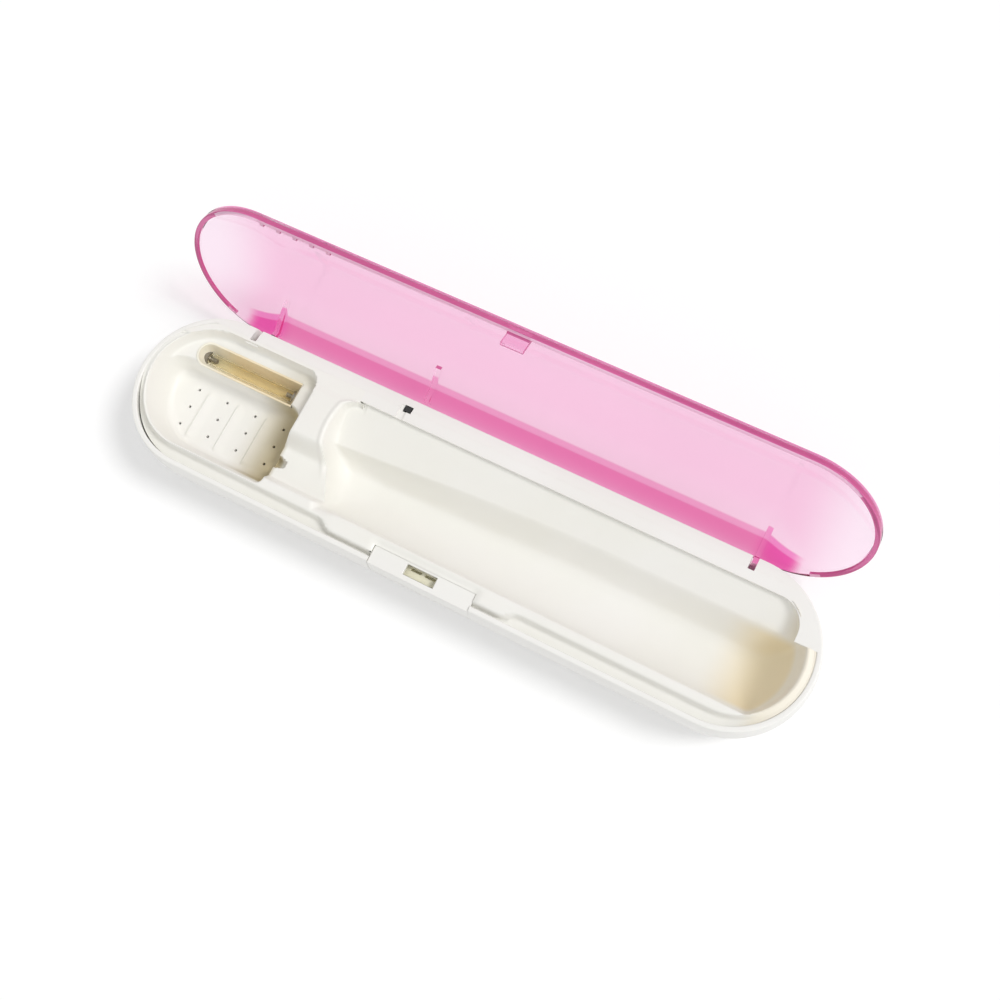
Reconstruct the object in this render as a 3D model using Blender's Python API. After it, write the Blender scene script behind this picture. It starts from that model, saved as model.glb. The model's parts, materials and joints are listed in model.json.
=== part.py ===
"""UV toothbrush steriliser case: long white casing with a tray, lamp, cells and a hinged pink lid.

X runs along the length with the brush head at -X, -Y is the front with the latch button, +Y is the hinge
side, and Z = 0 is the flat bottom. The lid stands open, leaning back past upright on its stop.
"""

from math import asin, cos, pi, radians, sin, sqrt, tan

import bmesh
import bpy
from mathutils import Vector

MM = 0.001

# Overall sizes of the casing
LENGTH = 220.0 * MM
RIM_RADIUS = 24.6 * MM
RIM_HEIGHT = 22.0 * MM
HULL_BULGE = 0.8 * MM
HULL_CORNER = 7.1 * MM
BULGE_HEIGHT = 14.0 * MM
CASING_WALL = 1.7 * MM
CASING_FLOOR = 1.8 * MM
CLEARANCE = 0.3 * MM
OVERRUN = 1.0 * MM

# Hinge
HINGE_INSET = 3.7 * MM
HINGE_DEPTH = 8.2 * MM
OPEN_ANGLE = radians(112.5)
SHOULDER_RADIUS = 7.9 * MM
ARM_INSET = 3.4 * MM
ARM_THICKNESS = 1.6 * MM
ARM_SLOT_CLEARANCE = 0.4 * MM
ARM_FRONT_REACH = 0.3 * MM
ARM_EYE_RADIUS = 2.7 * MM
ARM_ROOT_INSET = 11.2 * MM
ARM_ROOT_HEIGHT = 7.2 * MM
ARM_WAIST_INSET = 8.4 * MM
ARM_WAIST_HEIGHT = 3.9 * MM
PIN_RADIUS = 1.0 * MM
LUG_THICKNESS = 2.2 * MM
LUG_FRONT = 2.1 * MM
LUG_DROP = 3.4 * MM
LUG_RISE = 2.9 * MM

# Back flange: its rail edge along the trough, the corner it fills at the handle end, its edge by the bay
FLANGE_THICKNESS = 1.2 * MM
RAIL_INSET = 7.1 * MM
RAIL_REACH = 43.6 * MM
RAIL_CORNER_REACH = 7.2 * MM
RAIL_CORNER_RADIUS = 8.0 * MM
RAIL_END_DROP = 10.1 * MM
FLANGE_HEAD_INSET = 4.0 * MM
FLANGE_TUCK = 0.35 * MM

# Tray
TRAY_WALL = 1.0 * MM
TRAY_RISE = 0.5 * MM
TRAY_PLATE = 1.3 * MM
TRAY_END_SHIFT = 1.9 * MM
LIP_INSET = 5.3 * MM
LIP_BULGE_INSET = 2.9 * MM
LIP_BULGE_START = -36.0 * MM
LIP_BULGE_END = 30.0 * MM
LIP_BULGE_RAMP = 5.0 * MM
EASED_SHARE = 0.8
LIP_NIB_RADIUS = 1.3 * MM
LIP_NIB_PLACE = 30.8 * MM
GROOVE_DEPTH = 2.5 * MM
GROOVE_INSET = 2.2 * MM
SKIRT_THICKNESS = 1.2 * MM

# Head bay with the lamp ledge at its back; a reach is measured from the middle of the round head end
BAY_INSET = 6.4 * MM
BAY_BACK_INSET = 4.9 * MM
BAY_REACH = 28.6 * MM
BAY_CORNER = 4.5 * MM
BAY_DEPTH = 12.0 * MM
BAY_DRAFT = 2.2 * MM
BAY_FILLET = 1.6 * MM
LEDGE_DEPTH = 3.9 * MM
LEDGE_DRAFT = 0.8 * MM
LEDGE_WIDTH = 11.5 * MM
RECESS_REACH = 22.4 * MM
RECESS_LENGTH = 34.6 * MM
RECESS_INSET = 4.5 * MM
RECESS_WIDTH = 7.6 * MM
RECESS_DEPTH = 13.0 * MM
RIDGE_WIDTH = 3.4 * MM
RIDGE_HEIGHT = 0.8 * MM
RIDGE_INSET = 4.2 * MM
RIDGE_BACK_INSET = 5.2 * MM
DRAIN_RADIUS = 0.45 * MM
DRAIN_PITCH_X = 10.4 * MM
DRAIN_PITCH_Y = 6.1 * MM
DRAIN_REACH = 9.6 * MM
DRAIN_INSET = 6.55 * MM
DRAIN_COLUMNS = 4
DRAIN_ROWS = 3

# Channel from the bay to the trough, with a deeper notch for the brush's neck
CHANNEL_DEPTH = 5.4 * MM
CHANNEL_INSET = 9.2 * MM
CHANNEL_WIDTH = 14.2 * MM
CHANNEL_SLOPE = 1.6 * MM
CHANNEL_REACH = 49.4 * MM
NECK_DEPTH = 9.6 * MM
NECK_INSET = 7.0 * MM
NECK_TOP_HALF = 4.3 * MM
NECK_BOTTOM_HALF = 2.2 * MM
NECK_FLAT_REACH = 33.4 * MM
NECK_REACH = 40.9 * MM

# Handle trough
TROUGH_REACH = 40.2 * MM
TROUGH_START_RADIUS = 26.0 * MM
TROUGH_END_INSET = 4.6 * MM
TROUGH_START_SWEEP = 7.0 * MM
TROUGH_END_SWEEP = 17.0 * MM
TROUGH_INSET = 8.4 * MM
TROUGH_FLOOR_WIDTH = 5.0 * MM
TROUGH_DEPTH = 16.4 * MM
SHELF_DROP = 1.1 * MM
SHELF_WIDTH = 8.8 * MM
SHELF_EDGE_DEPTH = 6.4 * MM
STEEP_WIDTH = 4.7 * MM
CREASE_DEPTH = 14.2 * MM
SLANT_REACH = 120.4 * MM
SLANT = 2.6 * MM

# Latch button, its guide block and springs
BUTTON_HALF_WIDTH = 16.5 * MM
BUTTON_DROP = 8.6 * MM
BUTTON_SINK = 0.6 * MM
BUTTON_WALL = 1.5 * MM
BUTTON_PLATE = 1.5 * MM
BUTTON_INSET = 5.7 * MM
BUTTON_TRAVEL = 1.0 * MM
WINDOW_LEFT = -5.4 * MM
WINDOW_RIGHT = 4.4 * MM
WINDOW_INSET = 1.2 * MM
WINDOW_WIDTH = 3.5 * MM
GUIDE_TOP = 4.7 * MM
GUIDE_HEIGHT = 2.4 * MM
GUIDE_MARGIN = 1.4 * MM
GUIDE_INSET = 2.2 * MM
GUIDE_WIDTH = 3.7 * MM
GUIDE_SLOT_WIDTH = 0.8 * MM
GUIDE_SLOT_LENGTH = 3.4 * MM
GUIDE_SLOT_DEPTH = 1.2 * MM
GUIDE_POST_WIDTH = 5.0 * MM
GUIDE_POST_DEPTH = 2.4 * MM
LATCH_SPRING_PLACE = 11.5 * MM
LATCH_SPRING_DEPTH = 5.6 * MM
LATCH_SPRING_RADIUS = 1.3 * MM
LATCH_SPRING_WIRE = 0.22 * MM
LATCH_SPRING_TURNS = 4
LATCH_STOP_WIDTH = 5.0 * MM
LATCH_STOP_THICKNESS = 1.2 * MM
LATCH_STOP_INSET = 5.6 * MM
LATCH_STOP_DEPTH = 3.6 * MM

# Lamp in its half-round reflector
TUBE_RADIUS = 2.0 * MM
TUBE_WALL = 0.6 * MM
TUBE_INSET = 3.5 * MM
TUBE_DEPTH = 9.4 * MM
CAP_RADIUS = 2.2 * MM
CAP_LENGTH = 1.5 * MM
ELECTRODE_RADIUS = 0.8 * MM
ELECTRODE_LENGTH = 2.6 * MM
REFLECTOR_THICKNESS = 0.4 * MM
REFLECTOR_TOP = 4.3 * MM

# Cells, their contacts and the door below them
CELL_RADIUS = 5.25 * MM
CELL_LENGTH = 43.7 * MM
CELL_NUB_RADIUS = 1.9 * MM
CELL_NUB_LENGTH = 0.8 * MM
CELL_INSET = 12.8 * MM
CELL_REACH = 71.4 * MM
SPRING_LENGTH = 4.2 * MM
SPRING_RADIUS = 3.1 * MM
SPRING_TIP_RADIUS = 1.8 * MM
SPRING_WIRE = 0.3 * MM
SPRING_TURNS = 4
CONTACT_THICKNESS = 0.5 * MM
CONTACT_SIZE = 7.0 * MM
CELL_WALL = 1.4 * MM
CELL_WALL_RISE = 4.7 * MM
DOOR_THICKNESS = 1.5 * MM
DOOR_RIB = 1.0 * MM
DOOR_GRIP_PITCH = 2.4 * MM
DOOR_GRIP_WIDTH = 1.0 * MM
DOOR_GRIP_DEPTH = 0.5 * MM
DOOR_GRIP_LENGTH = 7.0 * MM
DOOR_GRIP_COUNT = 5
DOOR_GRIP_INSET = 5.0 * MM

# Circuit board and what it carries
BOARD_REACH = 31.4 * MM
BOARD_LENGTH = 32.6 * MM
BOARD_WIDTH = 10.6 * MM
BOARD_INSET = 5.2 * MM
BOARD_UNDERSIDE = 4.3 * MM
BOARD_THICKNESS = 1.2 * MM
STANDOFF_RADIUS = 1.5 * MM
TRANSFORMER_ALONG = 8.0 * MM
TRANSFORMER_INSET = 5.0 * MM
TRANSFORMER_LENGTH = 9.0 * MM
TRANSFORMER_WIDTH = 7.6 * MM
TRANSFORMER_HEIGHT = 5.4 * MM
TRANSFORMER_CORE = 1.6 * MM
CHIP_ALONG = 18.0 * MM
CHIP_INSET = 6.4 * MM
CHIP_LENGTH = 5.0 * MM
CHIP_WIDTH = 4.0 * MM
CHIP_HEIGHT = 1.5 * MM
CAPACITOR_MARGIN = 5.6 * MM
CAPACITOR_INSET = 6.4 * MM
CAPACITOR_RADIUS = 2.0 * MM
CAPACITOR_HEIGHT = 5.4 * MM

# Lid switch under the back flange, with a shallow slot from the rail to its plunger
SWITCH_REACH = 57.8 * MM
SWITCH_INSET = 3.4 * MM
SWITCH_LENGTH = 5.8 * MM
SWITCH_WIDTH = 3.4 * MM
SWITCH_HEIGHT = 6.0 * MM
SWITCH_SLOT_DEPTH = 0.6 * MM
SWITCH_SLOT_WIDTH = 2.4 * MM
PLUNGER_LENGTH = 2.2 * MM
PLUNGER_WIDTH = 1.6 * MM
PLUNGER_HEIGHT = 3.6 * MM
PLUNGER_TRAVEL = 0.6 * MM
PLUNGER_SINK = 0.2 * MM

# Screws and their bosses: one at the round end, two by the neck channel
END_SCREW_REACH = 13.6 * MM
END_SCREW_INSET = 6.2 * MM
NECK_SCREW_REACH = 34.2 * MM
NECK_SCREW_GAP = 5.4 * MM
FRONT_SCREW_INSET = 10.4 * MM
SCREW_RADIUS = 1.1 * MM
SCREW_HEAD_RADIUS = 2.0 * MM
SCREW_HEAD_HEIGHT = 1.3 * MM
SCREW_LENGTH = 6.4 * MM
SCREW_SLOT = 0.6 * MM
BOSS_RADIUS = 2.7 * MM
BOSS_HEIGHT = 4.6 * MM

# Lid
LID_WALL = 1.5 * MM
LID_GAP = 0.3 * MM
LID_SIDE_HEIGHT = 2.8 * MM
LID_RISE = 12.0 * MM
LID_CROWN_RADIUS = 1.5 * MM
HOOK_LEFT = -3.6 * MM
HOOK_RIGHT = 3.4 * MM
HOOK_DEPTH = 3.4 * MM
HOOK_INSET = 2.4 * MM
HOOK_THICKNESS = 1.2 * MM
HOOK_BARB = 0.3 * MM
HOOK_BARB_HEIGHT = 1.0 * MM
HOOK_ROOT_HEIGHT = 2.4 * MM
TOOTH_WIDTH = 0.9 * MM
TOOTH_HEIGHT = 0.9 * MM
TOOTH_DEPTH = 0.7 * MM
TOOTH_PITCH = 5.6 * MM
TOOTH_REACH = 1.4 * MM
TOOTH_COUNT = 5
SWITCH_RIB_WIDTH = 1.8 * MM
SWITCH_RIB_INSET = 12.0 * MM
SWITCH_RIB_TOP = 7.0 * MM
SWITCH_RIB_KNEE_INSET = 6.0 * MM
SWITCH_RIB_KNEE_HEIGHT = 3.9 * MM
SWITCH_RIB_TIP_INSET = 4.4 * MM
THUMB_HALF_WIDTH = 11.0 * MM
THUMB_DEPTH = 0.35 * MM
THUMB_HEIGHT = 2.1 * MM

# Fineness of the curved surfaces, in steps
END_STEPS = 18
PROFILE_STEPS = 6
SIDE_STEPS = 3
DOME_STEPS = 7
ROUND_SIDES = 20
SMALL_SIDES = 10

# Ends and heights worked out from the sizes above
ARC_CENTRE = LENGTH / 2 - RIM_RADIUS
TRAY_CENTRE = ARC_CENTRE + TRAY_END_SHIFT
HULL_RADIUS = RIM_RADIUS + HULL_BULGE
HULL_FLAT_RADIUS = RIM_RADIUS - HULL_CORNER
DECK = RIM_HEIGHT + TRAY_RISE
LID_FOOT = RIM_HEIGHT + LID_GAP

# Hinge and flange places
HINGE_Y = RIM_RADIUS - HINGE_INSET
HINGE_Z = RIM_HEIGHT - HINGE_DEPTH
ARM_PLACE = ARC_CENTRE - ARM_INSET
ARM_ROOT_EDGE = RIM_RADIUS - ARM_ROOT_INSET
ARM_WAIST_EDGE = RIM_RADIUS - ARM_WAIST_INSET
PIN_LENGTH = ARM_THICKNESS + 2 * ARM_SLOT_CLEARANCE + 2 * LUG_THICKNESS
FLANGE_UNDERSIDE = RIM_HEIGHT - FLANGE_THICKNESS
FLANGE_HEAD_EDGE = RIM_RADIUS - FLANGE_HEAD_INSET
RAIL_EDGE = RIM_RADIUS - RAIL_INSET
RAIL_START = RAIL_REACH - ARC_CENTRE
RAIL_CORNER_START = ARC_CENTRE + RAIL_CORNER_REACH
RAIL_END_EDGE = RAIL_EDGE - RAIL_END_DROP

# Tray places
LIP_EDGE = RIM_RADIUS - LIP_INSET
LIP_BULGE_EDGE = RIM_RADIUS - LIP_BULGE_INSET
GROOVE_EDGE = RIM_RADIUS - GROOVE_INSET
BAY_EDGE = RIM_RADIUS - BAY_INSET
BAY_BACK_EDGE = RIM_RADIUS - BAY_BACK_INSET
BAY_END_WALL = BAY_REACH - ARC_CENTRE
LEDGE_FRONT = BAY_BACK_EDGE - LEDGE_WIDTH
RECESS_END = RECESS_REACH - ARC_CENTRE
RECESS_START = RECESS_END - RECESS_LENGTH
RECESS_BACK = BAY_BACK_EDGE - RECESS_INSET
RECESS_FRONT = RECESS_BACK - RECESS_WIDTH
RIDGE_FRONT = RIDGE_INSET - BAY_EDGE
RIDGE_BACK = LEDGE_FRONT - RIDGE_BACK_INSET
DRAIN_FIRST_X = -ARC_CENTRE - DRAIN_REACH
DRAIN_FIRST_Y = LEDGE_FRONT - DRAIN_INSET
CHANNEL_FRONT = CHANNEL_INSET - RIM_RADIUS
CHANNEL_BACK = CHANNEL_FRONT + CHANNEL_WIDTH
CHANNEL_END = CHANNEL_REACH - ARC_CENTRE
NECK_CENTRE = CHANNEL_FRONT + NECK_INSET
NECK_FLAT_END = NECK_FLAT_REACH - ARC_CENTRE
NECK_END = NECK_REACH - ARC_CENTRE
TROUGH_START = TROUGH_REACH - ARC_CENTRE
TROUGH_END_RADIUS = RIM_RADIUS - TROUGH_END_INSET
TROUGH_FRONT = RIM_RADIUS - TROUGH_INSET
SHELF_EDGE = RAIL_EDGE - SHELF_WIDTH
CREASE_EDGE = SHELF_EDGE - STEEP_WIDTH
TROUGH_FLOOR_PLACE = CREASE_EDGE - TROUGH_FLOOR_WIDTH
SLANT_END = SLANT_REACH - ARC_CENTRE

# Latch and lamp places
BUTTON_BACK = RIM_RADIUS - BUTTON_INSET
WINDOW_FRONT = RIM_RADIUS - WINDOW_INSET
WINDOW_BACK = WINDOW_FRONT - WINDOW_WIDTH
GUIDE_FRONT = RIM_RADIUS - GUIDE_INSET
GUIDE_BACK = GUIDE_FRONT - GUIDE_WIDTH
LATCH_STOP_FACE = RIM_RADIUS - LATCH_STOP_INSET
HOOK_FRONT = RIM_RADIUS - HOOK_INSET
HOOK_BACK = HOOK_FRONT - HOOK_THICKNESS
TUBE_PLACE = RECESS_BACK - TUBE_INSET
TUBE_Z = RIM_HEIGHT - TUBE_DEPTH

# Cell, board and switch places
CELL_PLACE = RIM_RADIUS - CELL_INSET
CELL_START = CELL_REACH - ARC_CENTRE
CELL_Z = DOOR_THICKNESS + DOOR_RIB + CLEARANCE + CELL_RADIUS
CELL_PITCH = CELL_LENGTH + CELL_NUB_LENGTH + CLEARANCE
CELL_END = CELL_START + 2 * CELL_PITCH
DOOR_X = (CELL_START - SPRING_LENGTH - 2 * CLEARANCE, CELL_END + CONTACT_THICKNESS + CLEARANCE)
DOOR_Y = (CELL_PLACE - CELL_RADIUS, CELL_PLACE + CELL_RADIUS)
BOARD_START = BOARD_REACH - ARC_CENTRE
BOARD_END = BOARD_START + BOARD_LENGTH
BOARD_BACK = RIM_RADIUS - BOARD_INSET
BOARD_FRONT = BOARD_BACK - BOARD_WIDTH
BOARD_TOP = BOARD_UNDERSIDE + BOARD_THICKNESS
SWITCH_X = SWITCH_REACH - ARC_CENTRE
SWITCH_Y = RIM_RADIUS - SWITCH_INSET
SWITCH_TOP = FLANGE_UNDERSIDE - CLEARANCE
SCREW_PLACES = (
    (-ARC_CENTRE - END_SCREW_REACH, LEDGE_FRONT - END_SCREW_INSET),
    (NECK_SCREW_REACH - ARC_CENTRE, BOARD_FRONT - NECK_SCREW_GAP),
    (NECK_SCREW_REACH - ARC_CENTRE, FRONT_SCREW_INSET - RIM_RADIUS),
)

# Lid places
TOOTH_FIRST = TOOTH_REACH - ARC_CENTRE
SWITCH_RIB_FRONT = RIM_RADIUS - SWITCH_RIB_INSET
SWITCH_RIB_KNEE = RIM_RADIUS - SWITCH_RIB_KNEE_INSET
SWITCH_RIB_TIP = RIM_RADIUS - SWITCH_RIB_TIP_INSET


def material(name, colour, roughness, metallic=0.0, alpha=1.0):
    made = bpy.data.materials.new(name)
    made.use_nodes = True
    shader = made.node_tree.nodes["Principled BSDF"]
    shader.inputs["Base Color"].default_value = (*colour, 1.0)
    shader.inputs["Roughness"].default_value = roughness
    shader.inputs["Metallic"].default_value = metallic
    shader.inputs["Alpha"].default_value = alpha
    made.diffuse_color = (*colour, alpha)
    return made


def solid(name, rings, finish=None):
    """A closed skin through rings that have equal numbers of points, with a flat cap at each end."""
    build = bmesh.new()
    loops = [[build.verts.new(point) for point in ring] for ring in rings]
    for low, high in zip(loops, loops[1:]):
        for i, corner in enumerate(low):
            after = (i + 1) % len(low)
            build.faces.new((corner, low[after], high[after], high[i]))
    build.faces.new(loops[0][::-1])
    build.faces.new(loops[-1])
    bmesh.ops.recalc_face_normals(build, faces=build.faces)
    mesh = bpy.data.meshes.new(name)
    build.to_mesh(mesh)
    build.free()
    made = bpy.data.objects.new(name, mesh)
    bpy.context.scene.collection.objects.link(made)
    if finish:
        mesh.materials.append(finish)
    return made


def prism_x(name, outline, start, end, finish=None):
    """A (y, z) outline extruded along X."""
    return solid(name, [[(x, y, z) for y, z in outline] for x in (start, end)], finish)


def prism_y(name, outline, start, end, finish=None):
    """A (z, x) outline extruded along Y."""
    return solid(name, [[(x, y, z) for z, x in outline] for y in (start, end)], finish)


def prism_z(name, outline, start, end, finish=None):
    """An (x, y) outline extruded along Z."""
    return solid(name, [[(x, y, z) for x, y in outline] for z in (start, end)], finish)


def box(name, x, y, z, finish=None):
    """A box from its low and high values on each axis."""
    return prism_z(name, [(x[0], y[0]), (x[1], y[0]), (x[1], y[1]), (x[0], y[1])], z[0], z[1], finish)


def arc(centre_a, centre_b, radius, first, last, steps=PROFILE_STEPS):
    points = []
    for i in range(steps + 1):
        turn = first + (last - first) * i / steps
        points.append((centre_a + radius * cos(turn), centre_b + radius * sin(turn)))
    return points


def circle(centre_a, centre_b, radius, sides=ROUND_SIDES):
    return arc(centre_a, centre_b, radius, 0, 2 * pi * (sides - 1) / sides, sides - 1)


def capsule(radius, centre=ARC_CENTRE, steps=END_STEPS):
    """A stadium outline: half circles round two centres, joined by straight sides."""
    right = arc(centre, 0, radius, -pi / 2, pi / 2, steps)
    return right + arc(-centre, 0, radius, pi / 2, 3 * pi / 2, steps)


def at_height(outline, z):
    return [(x, y, z) for x, y in outline]


def grown(outline, distance):
    """The outline with each side moved outwards by a distance; the outline runs anticlockwise."""
    moved = []
    for i, (x, y) in enumerate(outline):
        before = Vector((x, y)) - Vector(outline[i - 1])
        after = Vector(outline[(i + 1) % len(outline)]) - Vector((x, y))
        before.normalize()
        after.normalize()
        one = Vector((before.y, -before.x))
        two = Vector((after.y, -after.x))
        way = (one + two) / (1 + one.dot(two))
        moved.append((x + way.x * distance, y + way.y * distance))
    return moved


def bake(target, tool, operation):
    """Joins, cuts or intersects the target with the tool, and drops the tool."""
    step = target.modifiers.new(operation, "BOOLEAN")
    step.operation = operation
    step.object = tool
    bpy.context.view_layer.update()
    graph = bpy.context.evaluated_depsgraph_get()
    mesh = bpy.data.meshes.new_from_object(target.evaluated_get(graph))
    target.modifiers.remove(step)
    target.data = mesh
    mesh.name = target.name
    bpy.data.objects.remove(tool, do_unlink=True)
    return target


def cut(target, *tools):
    for tool in tools:
        bake(target, tool, "DIFFERENCE")
    return target


def join(target, *tools):
    for tool in tools:
        bake(target, tool, "UNION")
    return target


def common(target, *tools):
    for tool in tools:
        bake(target, tool, "INTERSECT")
    return target


def smoothed(obj):
    obj.data.shade_smooth()
    obj.data.set_sharp_from_angle(angle=radians(35))
    return obj


def coil(name, start, axis, radii, length, turns, wire, finish):
    """A spring wound about an axis from a start point; its coil radius runs from one value to another."""
    along = Vector(axis)
    side = along.orthogonal().normalized()
    other = along.cross(side)
    path = bpy.data.curves.new(name, "CURVE")
    path.dimensions = "3D"
    path.bevel_depth = wire
    path.bevel_resolution = 1
    path.use_fill_caps = True
    path.materials.append(finish)
    steps = turns * SMALL_SIDES
    spline = path.splines.new("POLY")
    spline.points.add(steps)
    for i, point in enumerate(spline.points):
        share = i / steps
        radius = radii[0] + (radii[1] - radii[0]) * share
        turn = 2 * pi * turns * share
        place = Vector(start) + along * (length * share)
        place += side * (radius * cos(turn)) + other * (radius * sin(turn))
        point.co = (*place, 1.0)
    made = bpy.data.objects.new(name, path)
    bpy.context.scene.collection.objects.link(made)
    return made


def hull_profile(wall, floor):
    """(radius, height) pairs from the bottom flat, round the corner and up the bulging side to the rim."""
    points = []
    for i in range(PROFILE_STEPS + 1):
        turn = pi / 2 * i / PROFILE_STEPS
        radius = HULL_FLAT_RADIUS - wall + (HULL_RADIUS - HULL_FLAT_RADIUS) * sin(turn)
        points.append((radius, floor + (BULGE_HEIGHT - floor) * (1 - cos(turn))))
    for i in range(1, SIDE_STEPS + 1):
        share = i / SIDE_STEPS
        height = BULGE_HEIGHT + (RIM_HEIGHT - BULGE_HEIGHT) * share
        points.append((HULL_RADIUS - wall - HULL_BULGE * share**2, height))
    return points


def hull_rings(profile):
    return [at_height(capsule(radius), height) for radius, height in profile]


def hull_block(name):
    return solid(name, hull_rings(hull_profile(0, 0)))


def flange_outline():
    """The plan of the back flange, anticlockwise from its head end, with a round inner corner."""
    points = [(-LENGTH, FLANGE_HEAD_EDGE), (RAIL_START, FLANGE_HEAD_EDGE), (RAIL_START, RAIL_EDGE)]
    corner_y = RAIL_EDGE - RAIL_CORNER_RADIUS
    points += arc(RAIL_CORNER_START, corner_y, RAIL_CORNER_RADIUS, pi / 2, 0)
    points.append((RAIL_CORNER_START + RAIL_CORNER_RADIUS, RAIL_END_EDGE))
    points += [(LENGTH, RAIL_END_EDGE), (LENGTH, LENGTH), (-LENGTH, LENGTH)]
    return points


def shoulder_cutter():
    """What the lid's back edge sweeps: everything outside the shoulder's round about the hinge axis."""
    top = RIM_HEIGHT + OVERRUN
    reach = HINGE_Y + SHOULDER_RADIUS + OVERRUN
    outline = arc(HINGE_Y, HINGE_Z, SHOULDER_RADIUS, pi / 2, 0)
    outline += [(reach, HINGE_Z), (reach, top), (HINGE_Y, top)]
    return prism_x("shoulder_cutter", outline, -LENGTH, LENGTH)


def arm_slot(side):
    """The slot for one arm. Its low end is the stop that the open arm leans on."""
    half = ARM_THICKNESS / 2 + ARM_SLOT_CLEARANCE
    lean = OPEN_ANGLE - pi / 2
    arm_back = RIM_RADIUS - LID_WALL / 2 - HINGE_Y
    low = HINGE_Z - (HULL_RADIUS - HINGE_Y) * tan(lean) - arm_back / cos(lean) - CLEARANCE
    centre = side * ARM_PLACE
    y = (HINGE_Y - ARM_FRONT_REACH - ARM_SLOT_CLEARANCE, HULL_RADIUS + OVERRUN)
    return box("arm_slot", (centre - half, centre + half), y, (low, RIM_HEIGHT + OVERRUN))


def hinge_lugs(side):
    """Two cheeks that stand in from the back wall, one each side of the arm."""
    lugs = []
    for cheek in (-1, 1):
        near = side * ARM_PLACE + cheek * (ARM_THICKNESS / 2 + ARM_SLOT_CLEARANCE)
        x = sorted((near, near + cheek * LUG_THICKNESS))
        y = (HINGE_Y - LUG_FRONT, HULL_RADIUS - CASING_WALL / 2)
        lugs.append(box("hinge_lug", x, y, (HINGE_Z - LUG_DROP, HINGE_Z + LUG_RISE)))
    return lugs


def pin_way(side, radius, overrun):
    centre = side * ARM_PLACE
    half = PIN_LENGTH / 2 + overrun
    return prism_x("pin_way", circle(HINGE_Y, HINGE_Z, radius, SMALL_SIDES), centre - half, centre + half)


def button_space(margin, back):
    half = BUTTON_HALF_WIDTH + margin
    low = RIM_HEIGHT - BUTTON_DROP - margin
    y = (-HULL_RADIUS - OVERRUN, -back)
    return box("button_space", (-half, half), y, (low, RIM_HEIGHT + 2 * OVERRUN))


def door_space(margin, low, high):
    x = (DOOR_X[0] - margin, DOOR_X[1] + margin)
    y = (DOOR_Y[0] - margin, DOOR_Y[1] + margin)
    return box("door_space", x, y, (low, high))


def cell_walls():
    """Low walls round the cells, standing on the casing's floor beside the door opening."""
    x0, x1 = DOOR_X[0] - 2 * CLEARANCE, DOOR_X[1] + 2 * CLEARANCE
    y0, y1 = DOOR_Y[0] - 2 * CLEARANCE, DOOR_Y[1] + 2 * CLEARANCE
    low = CASING_FLOOR / 2
    high = CASING_FLOOR + CELL_WALL_RISE
    x = (x0 - CELL_WALL, x1 + CELL_WALL)
    y = (y0 - CELL_WALL, y1 + CELL_WALL)
    block = box("cell_walls", x, y, (low, high))
    return cut(block, box("cell_room", (x0, x1), (y0, y1), (0, high + OVERRUN)))


def board_pegs():
    pegs = []
    middle = (BOARD_FRONT + BOARD_BACK) / 2
    for x in (BOARD_START + 2 * STANDOFF_RADIUS, BOARD_END - 2 * STANDOFF_RADIUS):
        outline = circle(x, middle, STANDOFF_RADIUS, SMALL_SIDES)
        pegs.append(prism_z("peg", outline, CASING_FLOOR / 2, BOARD_UNDERSIDE - CLEARANCE))
    return pegs


def latch_supports():
    """Stops behind the two latch springs and a post under the guide block."""
    supports = []
    low = CASING_FLOOR / 2
    for side in (-1, 1):
        centre = side * LATCH_SPRING_PLACE
        x = (centre - LATCH_STOP_WIDTH / 2, centre + LATCH_STOP_WIDTH / 2)
        y = (-LATCH_STOP_FACE, LATCH_STOP_THICKNESS - LATCH_STOP_FACE)
        supports.append(box("latch_stop", x, y, (low, RIM_HEIGHT - LATCH_STOP_DEPTH)))
    middle = (WINDOW_LEFT + WINDOW_RIGHT) / 2
    x = (middle - GUIDE_POST_WIDTH / 2, middle + GUIDE_POST_WIDTH / 2)
    y = (-GUIDE_BACK - GUIDE_POST_DEPTH, -GUIDE_BACK)
    supports.append(box("guide_post", x, y, (low, RIM_HEIGHT - GUIDE_TOP - GUIDE_HEIGHT - CLEARANCE)))
    return supports


def switch_space(name, margin, low, high):
    x = (SWITCH_X - PLUNGER_LENGTH / 2 - margin, SWITCH_X + PLUNGER_LENGTH / 2 + margin)
    y = (SWITCH_Y - PLUNGER_WIDTH / 2 - margin, SWITCH_Y + PLUNGER_WIDTH / 2 + margin)
    return box(name, x, y, (low, high))


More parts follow.
